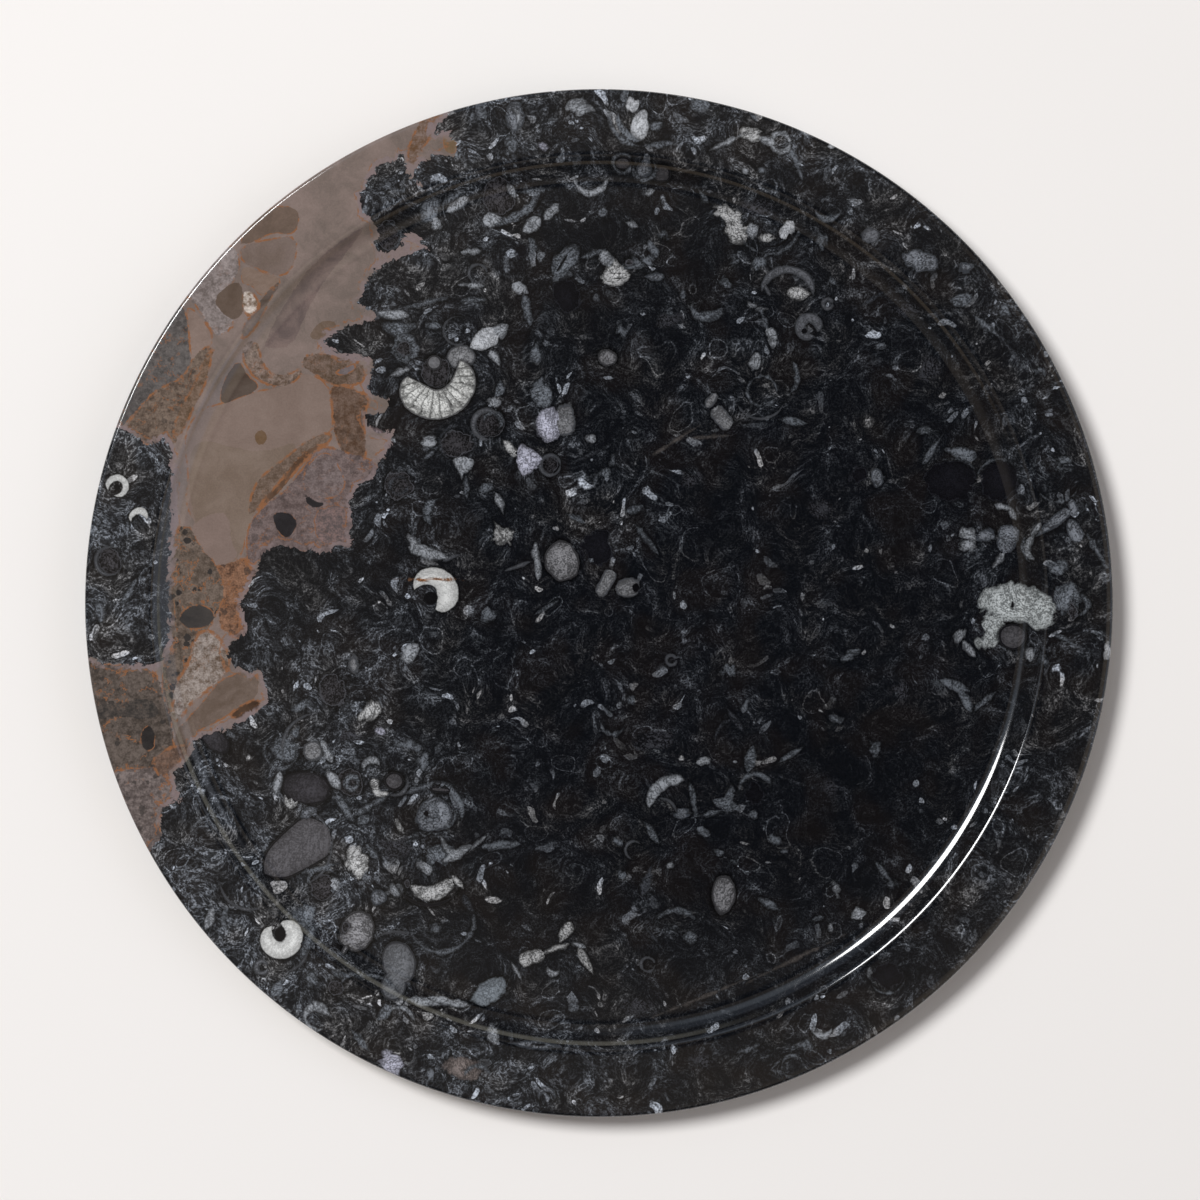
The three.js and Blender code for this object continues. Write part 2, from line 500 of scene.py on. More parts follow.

# %% [markdown]
# ## Where the fossils lie
# The saw cuts each shell at its own angle, so the same animal shows as a coil, a ring, a crescent
# or a bean. Three simple figures cover them all: an oval, an arc and a bar. Each row below
# places one of them, in millimetres and degrees, under the name of the kind of stone that fills
# it. The spots are small ovals that lie on other fossils.
#
# - oval: x, y, length, width, tilt
# - arc: x, y of the centre of its circle, radius, from and to angle, width, growth, ends
# - bar: x, y, length, width, tilt, growth, ends
#
# Growth from -1 to 1 makes the far end wider than the near one, and ends says how blunt the
# tips are: 2 is a point, 6 is almost square. An oval's tilt is 0 where it's left out, and so is
# growth, while ends is 2.

# %% Fossils
OVALS = {
    "grain": [
        (-48.5, 68.5, 9.5, 9.5), (-14.5, 41, 4.7, 6.5), (-59.5, 35, 8.9, 8.9),
        (-32.5, 53.5, 8.9, 8.9), (-42.5, 47, 10.1, 8.3), (-30, 121, 10.1, 11.9),
        (-63, 109, 7.1, 9.5, 10), (-145, 12.5, 6.5, 8.9, 20), (-74, -53.5, 7.7, 8.3),
        (-82, -84.5, 7.7, 7.7), (-78, -114, 5.3, 4.7), (-79.5, -26, 7.7, 10.1, 20),
    ],
    "beige": [
        (-41, 73, 8.3, 7.7, 20), (-10, 54, 6.5, 9.5), (8.5, 4.5, 7.1, 5.9, 5), (-85, -44, 5.9, 5.9),
        (-73, -18.5, 2.7, 5.9),
    ],
    "lilac": [
        (-15, 53, 8.3, 10.1), (-16.5, 135, 3, 2.4), (-64.5, -38, 3.6, 3.3),
        (-61.5, -136.5, 7.1, 7.7),
    ],
    "pale": [
        (-17, 62, 7.1, 8.3), (-19, 75, 3.3, 7.1, 8), (-29.5, 63, 3.6, 4.2),
        (-33.5, 34.5, 5.3, 3.3, 40), (-2, 13, 4.2, 3), (0.5, 38.5, 6.5, 2.4, 20), (4, 42, 2.7, 3.6),
        (-33, -3.5, 4.2, 4.2), (-57.5, 76, 7.7, 8.9), (-26, 136, 2.7, 6.5, 10),
        (-50, 117, 5.9, 8.9, -35), (-20, 106, 3, 4.2, -20), (-10.5, 100.5, 5.9, 11.9, -32),
        (-9, 90, 4.2, 3.6), (-59.5, 81.5, 8.3, 4.2, 5), (-49, 82.5, 4.4, 2.7), (30, 148, 5.9, 3.6),
        (48, 128, 3.3, 1.5), (19, 109.5, 3.9, 2.7), (1, 116, 2.4, 3), (10, 101, 6.5, 4.4, 15),
        (14.5, 102, 4.2, 3.6), (48, 101.5, 4.4, 3.6), (69, 96, 2.7, 1.8), (38, 95, 3.6, 3),
        (6.5, 81, 2.7, 3.6), (66, 108, 2.4, 4.2), (107.5, 90, 5.9, 3.6, 20),
        (120.5, 87, 3, 4.2, 20), (131, 69, 3, 2.4), (83.5, 76.5, 3.6, 2.4),
        (136, 10.5, 6.2, 3.9, 10), (139, 1.5, 8.3, 9.5), (132, -17, 2.4, 3),
        (97, 51, 4.4, 1.8, -15), (137.5, 42, 4.2, 3), (-148, -2.5, 2.7, 4.2),
        (-139.5, 44.5, 2.4, 3.9, -20), (-93.5, -44, 7.7, 7.7), (-90.5, -38.5, 2.4, 4.2),
        (-56.5, -42.5, 7.7, 2.7, -10), (-52.5, -47, 3.6, 5.3, -15), (-49, -96.5, 2.4, 3),
        (-79, -84.5, 3.9, 4.4), (-87.5, -93, 7.1, 6.5, 40), (-47, -75, 11.9, 6.5, 15),
        (-86.5, -93.5, 5.3, 3.6, 40), (-85.5, -96.5, 3.6, 3), (-95.5, -115, 3.6, 5, -20),
        (-85.5, -111, 3.3, 4.4), (-75.5, -110.5, 7.7, 2.7, -8), (-85.5, -123.5, 5.9, 3, -30),
        (-50, -140, 3, 4.2, 20), (-88.5, -30.5, 5.3, 3, 30), (38.5, -57, 2.7, 4.7),
        (45.5, -63, 2.4, 1.5), (39, -20, 6.2, 2.7, -20), (9, -29, 2.4, 2.7),
        (70.5, -34.5, 3.9, 2.4, -40), (82, -43, 2.7, 4.2, 15), (35.5, -75, 2.1, 2.4),
        (39, -76.5, 3, 1.8), (52.5, -70.5, 3.6, 2.1, -30), (55, -74, 3, 2.1, 20),
        (6.5, -81, 3, 3.9), (87, -83.5, 3.6, 2.7), (22.5, -96, 3.3, 2.4), (27, -99.5, 4.2, 3.6),
        (-7.5, -120.5, 3, 2.1), (61.5, -131, 4.2, 2.7),
    ],
    "cream": [
        (-28.5, 20, 7.1, 4.7), (45, 139, 6.5, 4.4, -10), (38.5, 115.5, 9.5, 5.3, -35),
        (41, 110.5, 7.1, 5.9, -10), (50, 108.5, 5.3, 3.6), (5, 97.5, 8.6, 7.7, -30),
        (59.5, 92, 7.1, 4.2, 5), (-72, -77, 6.5, 8.9, 12), (-92, -59.5, 4.2, 3.3, -15),
        (-68, -32, 7.7, 4.2, 25),
    ],
    "egg": [
        (-11, 12.5, 10.1, 11.9, 15), (2.5, 73, 5.9, 5, -15), (-72, -97.5, 10.1, 12.5, -25),
        (37, -86.5, 7.1, 11.9, -4),
    ],
    "calcite": [
        (-30.5, 59.5, 4.4, 3.3), (-50.5, 48, 4.4, 3.6, -20), (-2.5, 49, 2.4, 1.8),
        (-6, 147, 7.4, 4.4), (-48.5, 113, 3.3, 3.9), (-38.5, 104.5, 3.6, 2.1),
        (-61.5, 122, 4.2, 2.1, -15), (43.5, 128.5, 3.9, 2.4, -15), (45.5, 110.5, 4.4, 4.2),
        (46, 88.5, 3.9, 1.8, -15), (27.5, 88.5, 1.8, 2.1), (47, 72, 2.7, 4.2, -20),
        (51.5, 77.5, 4.2, 2.4, -30), (110, 20.5, 4.4, 3.6), (109.5, 17, 4.4, 3.6),
        (128, -15.5, 2.7, 5.6), (107, -9.5, 2.7, 3.9, -20), (-51.5, -78.5, 4.2, 4.7, 20),
        (-60.5, -85.5, 4.4, 3.9), (-79, -84, 4.7, 5.3), (-31.5, -128, 3.3, 5.3),
        (-56.5, -15.5, 4.4, 6.8, -25), (21, -78, 1.5, 0.9), (70.5, -85.5, 2.1, 4.4, 10),
        (80, -110, 1.8, 3.9),
    ],
    "void": [
        (-0.5, 16.5, 9.5, 10.7), (-22.5, 104.5, 4.4, 4.7), (-10, 91.5, 7.7, 11.3, 15),
        (77.5, 38, 6.5, 5.3), (104.5, 36.5, 16, 13), (119, 36.5, 11.3, 12.5),
        (-48.5, -76.5, 3.6, 7.1, 15), (46.5, -56.5, 5.6, 7.1), (85.5, -110.5, 10.1, 7.7),
    ],
    "pink": [(-65, 49, 8.9, 3.9, -40)],
    "bluish": [
        (-25, 144, 5, 9.8), (13.5, 129, 4.2, 5.9), (95.5, 101.5, 10.1, 6.5, -20),
        (109, 99.5, 4.2, 2.7, -20), (82.5, 37.5, 4.7, 5, 20), (115, 20, 5.3, 4.2),
        (-49, -63, 11.3, 10.1, 10), (-66, -87.5, 4.4, 3.6), (24.5, -62.5, 5, 3, 25),
    ],
    "white": [
        (12, 141.5, 5.9, 8.9), (10, 147.5, 3.9, 4.2, 20), (69, 135.5, 1.2, 0.9),
        (151, -14.5, 1.8, 4.2),
    ],
    "bean": [(7, 130.5, 5.9, 3.9), (18.5, 127.5, 5.9, 4.7), (-61, -53, 5.9, 5.3)],
    "mist": [
        (47, 117, 11.9, 5.9, -15), (21, 84, 8.9, 4.2, 10), (91, 87, 6.5, 4.7),
        (98, 70.5, 6.5, 8.9, 25), (27, 36.5, 7.1, 4.7, 15), (65.5, 27.5, 7.7, 4.2, -20),
        (144, 48.5, 4.7, 8.9, -20), (89.5, -26, 7.1, 5.3), (-74, -39, 5.9, 4.2),
        (-60.5, -72.5, 8.9, 7.1, 20), (16.5, -41, 11.9, 5.9, 15), (68.5, -55.5, 7.1, 5.9),
        (25, -72.5, 3.6, 2.4), (12, -120.5, 10.1, 5.3, -10), (30, -135.5, 8.9, 4.7),
    ],
    "grey": [(80.5, 109, 5.3, 4.7)],
    "stone white": [
        (123, 0, 20.2, 11.9, -6), (131, -2.5, 8.9, 11.9, 15), (116.5, -10.5, 8.9, 5.3, 20),
        (117.5, -6.5, 7.1, 7.7),
    ],
    "seed": [(-114.5, -40.5, 10.7, 5.9, -40), (-87, -55, 14.8, 9.5, -10)],
    "slate": [(-59.5, -107, 10.1, 13, 12), (-61, -113.5, 7.7, 8.9)],
    "shine": [(-32.5, -115.5, 11.9, 6.5, 32)],
    "taupe": [(-40.5, -138, 11.9, 7.1, -10)],
}
ARCS = {
    "ribbed": [(-48.5, 67.5, 8.4, 180, 394, 8.6, -0.16, 5)],
    "ivory": [
        (-50, 3, 5, -75, 168, 5.9, -0.3, 4), (-94.5, -99, 4, 130, 448, 5, 0.12, 5),
        (-143, 34.5, 2.7, -100, 200, 1.8, 0.1, 4), (-136.5, 25, 2.4, 0, 200, 1.8, -0.3, 3),
    ],
    "grey": [
        (-95, -100.5, 9.2, -80, 35, 0.6, 0, 3), (-14.5, 41, 3, 0, 360, 0.9, 0, 8),
        (-33, 53, 4.4, 20, 290, 1.5, 0, 3), (-36, 98, 2.7, 0, 360, 0.7, 0, 8),
        (-42, 81, 4.2, 90, 300, 0.7), (56, 91.5, 7.7, 0, 172, 2.4, 0, 6),
        (68, 89, 1.5, 0, 360, 0.9, 0, 8), (62.5, 82, 2.8, -30, 300, 3, 0, 6),
        (48, 62.5, 7.7, 200, 340, 0.7), (-145, 12.5, 4.2, 60, 300, 0.9),
        (-91.5, -72.5, 11.9, -60, 75, 0.9, 0, 3), (-60.5, -107.5, 9.8, 20, 120, 0.6, 0, 3),
        (-61, -53, 4.2, -120, 30, 0.9), (-83.5, -43.5, 10.7, 95, 200, 0.9, 0, 3),
        (-103.5, -82, 8.9, 190, 290, 0.9, 0, 3), (-100, -108, 1.8, 0, 360, 1.2, 0, 8),
        (18, -63, 5, 10, 90, 0.9), (21.5, -17, 1.5, 0, 360, 0.9, 0, 8),
        (10.5, -73.5, 2.7, 60, 250, 0.9), (14.5, -107.5, 2.1, 0, 360, 0.7, 0, 8),
    ],
    "faint": [
        (-59.5, 35, 2.7, 0, 360, 0.7, 0, 8), (-42, 47.5, 5.3, 0, 360, 0.7, 0, 8),
        (128, -14.5, 3.9, 0, 360, 0.6, 0, 8), (-48, -95.5, 4.7, 200, 330, 1.2),
        (40.5, -40.5, 5.9, 110, 210, 0.9), (0.5, -131, 6.5, 200, 330, 0.9),
    ],
    "pale": [
        (-31.5, 54, 2.7, -40, 170, 1.2), (-46.5, 26.5, 4.7, 105, 225, 2.4),
        (-31.5, 128, 14.8, 262, 342, 2.4, -0.2, 3), (-59, 124, 1.8, 180, 360, 0.9),
        (-62.5, 109, 3.6, -80, 80, 0.9), (13, 144.5, 7.4, 172, 265, 2.4, 0, 3),
        (13, 145.5, 10.1, 180, 262, 1.5, 0, 3), (7, 130.5, 2.7, 0, 360, 0.7, 0, 8),
        (13.5, 129, 3.3, 180, 380, 0.9), (50.5, 113, 9.2, -125, 0, 0.9),
        (32, 90, 5, 195, 335, 2.4, 0, 3), (68, 118, 4.2, 200, 330, 1.8),
        (48.5, 63, 4.4, 0, 360, 0.7, 0, 8), (52, 67.5, 7.1, -40, 40, 1.2),
        (119, 36, 6.8, 55, 150, 0.7), (105, 34, 8.9, 50, 120, 0.7),
        (132.5, 17, 6.5, 125, 230, 0.9, 0, 3), (141.5, -0.5, 3.3, -70, 80, 1.5),
        (136, 36.5, 6.5, 230, 320, 0.9), (-125, 20, 3.3, 40, 230, 1.2),
        (-94.5, -44, 5, 150, 330, 1.2), (-73.5, -53.5, 1.8, 0, 360, 1.2, 0, 8),
        (-50.5, -62.5, 2.4, 0, 360, 0.9, 0, 8), (-47, -63, 4.2, -100, 80, 0.7),
        (-50.5, -63, 9.8, -10, 78, 1.8, 0, 3), (-47, -94, 9.8, 185, 372, 1.2, 0, 4),
        (-82, -83.5, 4.7, 30, 200, 0.9), (-69.5, -123.5, 13, 40, 110, 0.9, 0, 3),
        (-107.5, -93.5, 3.9, 120, 250, 1.8), (-73, -113.5, 3.3, 60, 170, 1.8),
        (-36, -141.5, 4.2, 20, 160, 1.5), (4, -35.5, 3.6, 190, 330, 0.9),
        (46.5, -55.5, 4.7, 5, 175, 1.5, 0, 3), (23, -98.5, 7.1, 40, 150, 1.2),
        (57.5, -137.5, 3.3, 20, 300, 0.9), (85.5, -110.5, 5.3, 190, 330, 0.6),
    ],
    "calcite": [
        (-27.5, 144, 3.6, -40, 40, 0.7), (54, 136.5, 2.7, 0, 360, 1.5, 0, 8),
        (-2.5, 127, 5, 185, 350, 2.1, 0, 4), (131.5, 16.5, 4.4, 120, 235, 1.8, 0, 3),
        (-67.5, -49, 2.4, 20, 200, 1.8), (-83.5, -123, 3.6, 20, 290, 2.1, 0, 3),
        (-59.5, -125, 5, 20, 160, 1.2), (-13.5, -108.5, 1.8, 180, 350, 1.5),
        (23.5, -61, 8.6, 75, 178, 3.3, -0.2, 4), (66, -125.5, 3, 190, 350, 1.5),
    ],
    "black": [(-31.5, 128, 16.6, 258, 345, 0.7), (51, 112.5, 6.5, -130, 10, 0.9)],
    "dark": [(-59, -70.5, 5.9, -60, 100, 0.6)],
    "cream": [(-50.5, -78.5, 7.7, 222, 335, 4.4, 0.1, 4)],
    "bean": [(-50.5, -78.5, 11.3, 220, 320, 0.9)],
    "bluish": [(-15.5, -146.5, 2.4, -10, 190, 1.5)],
}
BARS = {
    "lilac": [(-20.5, 42.5, 8.3, 7.1, 185, 0.8, 4)],
    "cream": [
        (-26.5, 46, 7.7, 2.4, -50, 0, 3), (-28.5, 20, 9.5, 1.5, 20), (-28.5, 20.5, 7.7, 1.5, -55),
        (-66.5, -55, 5.9, 2.4, -75, 0, 5), (-64.5, -57, 4.2, 1.8, 5, 0, 4),
        (-59.5, -66, 4.7, 1.2, -60, 0, 6), (-42, -83, 5.3, 1.5, -50, 0, 3),
        (-10, -98, 7.1, 3, 60, 0.2, 4), (-20, -105.5, 8.3, 3.9, 18, 0, 5),
        (-12.5, -102.5, 8.9, 1.2, 22, 0, 3), (-4, -106.5, 8.9, 2.1, -60, -0.3),
    ],
    "calcite": [
        (-18.5, 12, 11.3, 1.8, 95, 0.4, 3), (-31, 73, 5.3, 2.4, -60, -0.5, 3),
        (-50.5, 15, 13.6, 3.3, -16, -0.2, 3), (-55.5, 18, 5.9, 2.4, -65, 0.3, 3),
        (-40.5, 40.5, 6.5, 5, -95, -0.85, 4), (-29.5, 29.5, 6.5, 2.1, -70, -0.3),
        (-59.5, 68.5, 7.7, 1.5, 20), (-42, 118.5, 8.3, 2.7, 33, 0.1, 3),
        (-31.5, 114, 6.5, 3.9, 5, -0.6, 3), (-20, 112.5, 6.5, 3.6, 38, 0.2, 3),
        (-14, 116.5, 6.5, 2.4, 48, 0, 3), (-26, 122.5, 4.7, 2.4, -60), (-38, 94.5, 7.7, 1.8, -2),
        (-61.5, 86, 10.1, 2.7, -6, 0.3, 3), (-23.5, 93.5, 5.9, 3.9, -30, -0.4, 3),
        (-30.5, 80.5, 8.3, 3.9, 32, 0.2, 3), (37.5, 136.5, 10.1, 1.5, 26),
        (50, 137, 5.3, 3, -20, 0.3, 3), (61, 139.5, 5.9, 1.8, -28), (15, 122, 3.9, 1.5, 25),
        (10, 112.5, 4.4, 1.5, -20), (2, 102.5, 5.9, 3.3, -60, 0.2, 3),
        (51.5, 80, 4.7, 2.7, -45, -0.5, 3), (120.5, 28.5, 5.9, 1.5, -15, 0, 3),
        (123, 26.5, 4.7, 1.8, -60, 0, 3), (119, 13, 6.5, 1.8, 55), (129.5, 22, 5.3, 1.8, 55, 0, 3),
        (110, -13.5, 5.9, 1.8, -50, 0, 3), (-81, -44, 7.7, 2.1, -65, 0, 3),
        (-95.5, -53.5, 6.5, 2.1, 80, 0, 3), (-79, -52.5, 7.1, 2.4, -55, 0, 3),
        (-42, -74.5, 10.1, 3.3, 28, -0.3), (-45.5, -72.5, 7.1, 1.5, -62),
        (-36.5, -72, 7.7, 1.2, 42), (-52, -118.5, 10.1, 2.4, -10, -0.3),
        (-115.5, -93.5, 7.1, 2.4, 70), (-82, -120.5, 7.7, 2.1, -38, -0.3),
        (-44.5, -118.5, 13, 2.1, -12, -0.2, 3), (-6.5, -101.5, 5.3, 1.2, -20, 0, 3),
        (-24.5, -109.5, 5.3, 0.8, -60), (31, -47, 4.7, 2.4, 15, 0, 3),
        (77, -92, 4.2, 4.2, 110, -0.8, 3), (69, -96.5, 3.3, 1.5, -80, 0, 6),
    ],
    "grey": [
        (-24, 11, 8.3, 1.2, 20, 0, 3), (-44, 13.5, 5.9, 1.2, 20, 0, 3),
        (50, 93, 4.2, 1.2, -60, 0, 6),
    ],
    "white": [(-34, 78.5, 10.1, 5.6, 30, 0.2, 3), (56, 111, 6.5, 3.6, 55, 0, 4)],
    "pale": [
        (-39.5, 35, 7.1, 1.2, -88), (-50.5, 44, 4.2, 0.9, 40, 0, 6), (-6.5, 25, 7.7, 1.2, -25),
        (-1, 36.5, 4.7, 1.5, 70), (-15, -1, 8.9, 1, 30, 0, 3), (-43.5, 120.5, 9.5, 1.8, 35),
        (-19, 122.5, 10.1, 1.2, 4), (-37.5, 90, 7.1, 1.2, 3), (-51, 89.5, 13.6, 1.5, 14),
        (-21.5, 87.5, 10.1, 2.7, -78, 0, 3), (18.5, 136, 10.1, 1.8, 6),
        (17, 141.5, 4.2, 2.7, 30, 0, 3), (45.5, 144.5, 6.5, 1.2, -50),
        (58.5, 130.5, 10.1, 1.5, -68), (31, 121, 4.7, 1.2, -55), (16, 105.5, 6.5, 2.4, -65, 0, 3),
        (-1.5, 104, 7.1, 1.5, 20), (40.5, 101.5, 4.7, 1.8, 25), (25, 92, 3.6, 1.2, 80, 0, 6),
        (49, 84.5, 5.9, 0.7, -70, 0, 6), (114.5, 82.5, 8.9, 1.5, -40),
        (57.5, 54, 8.3, 2.1, -8, 0, 3), (14.5, 18.5, 10.7, 1.2, -52, 0, 5),
        (10.5, 28, 5.9, 1.8, 20, 0, 3), (99, 45.5, 10.1, 2.1, 55, -0.4),
        (107.5, 44.5, 10.1, 3.6, -15, 0.4, 3), (148, 15, 13, 1.5, -58), (138.5, -11, 7.7, 1.5, -30),
        (105.5, -24.5, 10.1, 2.7, -20, 0.3, 3), (109, -29, 7.7, 2.7, -62, 0, 3),
        (115, -29, 8.9, 1.8, 42), (74.5, -15.5, 7.1, 2.1, 28, 0, 3), (-139.5, 3, 7.7, 1.5, 60),
        (-67.5, -74, 5.9, 1.8, -50, 0, 3), (-75.5, -61, 10.1, 2.1, -58, 0, 5),
        (-67.5, -60, 12.5, 1.8, 32, 0, 3), (-70, -64.5, 4.7, 2.4, 35, 0, 3),
        (-53.5, -55, 8.9, 1.5, 20, 0, 3), (-29, -72, 11.9, 2.4, 4, 0, 3),
        (-83.5, -79, 11.9, 1.2, 15), (-86.5, -101, 10.1, 2.4, 70, 0, 3),
        (-63.5, -121.5, 6.5, 3, 45, 0, 3), (-71, -129.5, 7.7, 1.8, -50),
        (2.5, -32.5, 4.7, 1, -45, 0, 6), (28, -58.5, 10.7, 1.2, -78, 0, 3),
        (38, -60, 8.9, 3.9, -20, -0.3), (33, -62.5, 7.7, 1.2, 15), (45, -46.5, 8.9, 3, 80, 0, 3),
        (43.5, -30.5, 4.7, 1.2, 70, 0, 6), (56.5, -45.5, 8.3, 1.5, 33, 0.3),
        (5.5, -71, 4.2, 2.1, -30, 0, 6), (15.5, -68, 7.7, 2.1, -55), (31, -68, 4.7, 2.1, -40, 0, 6),
        (50.5, -89.5, 7.1, 2.4, -30), (85, -80.5, 8.9, 1.8, -50), (64, -94, 6.5, 0.9, 15, 0, 6),
        (43.5, -132.5, 7.7, 1.5, 20),
    ],
    "beige": [
        (2, 6, 8.9, 3.9, 62, 0, 9), (36.5, 55, 8.3, 4.4, -52, 0, 9),
        (33.5, 60.5, 5.9, 2.4, 55, 0, 6),
    ],
    "faint": [
        (-3, 44, 10.1, 0.7, 25), (80.5, 90, 11.9, 0.7, 30), (122, 75, 10.7, 0.7, -55),
        (-39, -89.5, 6.5, 1.8, -65, 0, 3), (41, -35.5, 8.9, 1.2, -55, 0, 3),
        (49, -39, 7.1, 1, -55, 0, 6), (56.5, -52.5, 14.8, 0.5, -20), (14, -83.5, 10.1, 2.4, 72),
        (33.5, -95.5, 10.7, 0.7, -40), (15.5, -98.5, 10.7, 0.7, -52),
    ],
    "dark": [
        (-11, 101, 5.9, 0.6, 58, 0, 6), (5, 98, 5.9, 0.4, 0, 0, 6), (5, 96.5, 4.7, 0.4, 0, 0, 6),
    ],
    "bluish": [
        (16.5, 97, 5.9, 2.4, 0, 0, 3), (121.5, 19, 8.9, 5.9, 75, 0.2, 6),
        (135, 24, 13, 3.3, 38, 0.4, 3), (141, 21.5, 7.7, 4.4, -65, 0.3, 4),
        (140.5, 28.5, 5.3, 2.7, -75, 0, 3), (-86.5, -62.5, 5.9, 3.3, 30, 0.3, 3),
        (-19, -131, 16, 2.7, -4),
    ],
    "vein": [
        (21.5, 47.5, 15.4, 0.9, 32), (33.5, 49.5, 10.7, 0.9, 4), (30, -117.5, 32.6, 0.9, 22),
        (58, -106, 26.7, 0.9, 26),
    ],
    "bean": [(-90, -73.5, 23.7, 13, 36, 0.26, 5), (-47, -55.5, 6.5, 1.8, -5, 0, 6)],
    "egg": [(-75.5, -103, 3, 1.5, 60, 0, 6)],
}
SPOTS = {
    "ball": [(-49, 71.5, 4.2, 4.2)],
    "black": [
        (-62, 59.5, 3.6, 2.7), (-50, 1.5, 4.4, 4.2), (-94.5, -98, 3.6, 4.2), (-143, 34.5, 2.1, 2.1),
        (11, 4.5, 2.1, 2.4), (51.5, 109, 0.9, 0.9), (-51.5, -62.5, 1.5, 1.5),
    ],
    "rust": [(-50, 7, 13.6, 0.9, -1)],
    "grain": [
        (-58, 75.5, 4.2, 4.7), (9, 101.5, 3, 2.4), (140.5, -2.5, 2.7, 4.2),
        (-75.5, -96.5, 2.4, 3.3), (-57, -83.5, 2.1, 2.7),
    ],
    "dark": [
        (-3, 123, 0.6, 2.7), (62.5, 93.5, 3.9, 0.6, -35), (61, 81, 1.5, 1.5), (123, -0.5, 0.7, 2.7),
        (-17.5, -131, 5.3, 0.9, -4),
    ],
    "bean": [(123, -10, 8.3, 7.7)],
}
fossil_count = sum(len(rows) for t in (OVALS, ARCS, BARS, SPOTS) for rows in t.values())
print(f"fossils: {fossil_count}")


# %% [markdown]
# ## Kinds of filling
# A buried shell fills with whatever the water brings: clear calcite, pale lime, grey mud with
# grains in it, or nothing but black. A kind of filling is a colour for the body, a colour and
# width for the line round it, how dark the crushed rock next to it is, how grainy it is, how
# ragged its border is. Only the large ammonite shows its growth lines.


# %% Colours and kinds of filling
def paint(red, green, blue):
    """Turns a colour from the 0 to 255 scale of a paint box into the light it sends back."""
    return tuple(((c / 255 + 0.055) / 1.055) ** 2.4 for c in (red, green, blue))


# body, line round it, width of the line, halo, grain, ragged
FILLINGS = {
    "ribbed": ((176, 177, 175), (84, 84, 86), 0.3, 0.8, 0.9, 0.5),
    "white": ((170, 173, 178), (100, 102, 104), 0.0, 0.6, 0.8, 0.9),
    "ivory": ((178, 179, 178), (104, 106, 108), 0.0, 0.7, 0.45, 0.4),
    "calcite": ((142, 146, 152), (92, 96, 102), 0.0, 0.5, 1.0, 1.4),
    "cream": ((172, 173, 174), (112, 112, 112), 0.0, 0.5, 1.1, 1.4),
    "lilac": ((160, 161, 175), (110, 110, 122), 0.0, 0.5, 1.0, 1.5),
    "shine": ((112, 119, 126), (90, 98, 106), 0.0, 0.9, 0.8, 0.8),
    "stone white": ((164, 169, 170), (104, 108, 110), 0.2, 0.5, 1.0, 1.3),
    "beige": ((113, 114, 117), (64, 66, 70), 0.4, 0.6, 0.9, 0.7),
    "pale": ((101, 106, 113), (70, 72, 76), 0.0, 0.5, 1.1, 1.5),
    "bluish": ((108, 112, 119), (56, 60, 66), 0.3, 0.6, 1.1, 1.1),
    "grey": ((90, 92, 97), (58, 60, 64), 0.3, 0.4, 0.8, 0.6),
    "faint": ((66, 69, 75), (50, 52, 56), 0.0, 0.2, 1.1, 1.6),
    "mist": ((56, 57, 62), (40, 42, 46), 0.0, 0.0, 1.2, 2.4),
    "egg": ((112, 112, 115), (46, 46, 48), 0.4, 0.9, 1.0, 0.5),
    "ball": ((101, 101, 104), (36, 36, 38), 0.4, 0.6, 0.4, 0.1),
    "grain": ((50, 49, 52), (70, 71, 76), 0.3, 0.7, 1.2, 1.0),
    "bean": ((68, 67, 70), (16, 16, 19), 0.5, 0.9, 0.7, 0.3),
    "slate": ((86, 88, 92), (44, 45, 49), 0.4, 0.8, 0.7, 0.3),
    "seed": ((46, 45, 49), (20, 20, 23), 0.4, 0.8, 0.8, 0.4),
    "void": ((17, 17, 21), (32, 33, 38), 0.3, 0.2, 0.6, 1.4),
    "dark": ((15, 15, 17), (15, 15, 17), 0.0, 0.0, 0.3, 0.5),
    "black": ((10, 10, 12), (10, 10, 12), 0.0, 0.0, 0.2, 0.4),
    "vein": ((78, 74, 72), (70, 66, 62), 0.0, 0.0, 0.8, 1.3),
    "rust": ((150, 108, 78), (90, 60, 40), 0.0, 0.0, 0.9, 0.8),
    "pink": ((130, 116, 119), (90, 76, 76), 0.3, 0.2, 0.8, 0.8),
    "taupe": ((102, 94, 92), (70, 64, 62), 0.0, 0.3, 0.9, 1.0),
}
GROWTH_LINES = {"ribbed": 0.42}  # per millimetre
print(f"fillings: {len(FILLINGS)} kinds")

# %% [markdown]
# ## A frame for each fossil
# Every face of the mesh belongs to the fossil nearest to it, and its corners store where they lie
# in that fossil's own frame. An oval stores the two coordinates that make it a unit circle, and
# its half width. An arc or a bar stores the distance across it, its half width there, and the
# distance along it. Those numbers change evenly over a face, so the finish can draw an outline far
# finer than the mesh. Fossils that lie on others are kept in layers of their own, and faces far
# from every fossil are marked, so that the finish can skip the layers there.


# %% Frames of the three figures
PAST_TIPS = -3.0  # what a half width falls to, past the tips


def turned(places, x, y, tilt):
    """Coordinates of places along and across a figure that is centred at x, y and tilted."""
    offset = places - (x, y)
    cosine, sine = math.cos(math.radians(tilt)), math.sin(math.radians(tilt))
    return offset[:, 0] * cosine + offset[:, 1] * sine, offset[:, 1] * cosine - offset[:, 0] * sine


def half_width(along, width, growth, ends):
    """Half the width of an arc or a bar, for places from -1 to 1 along it; negative past its tips."""
    shape = (1 + growth * np.clip(along, -1, 1)) * (1 - np.abs(along) ** ends)
    return np.clip(width / 2 * shape, PAST_TIPS, None)


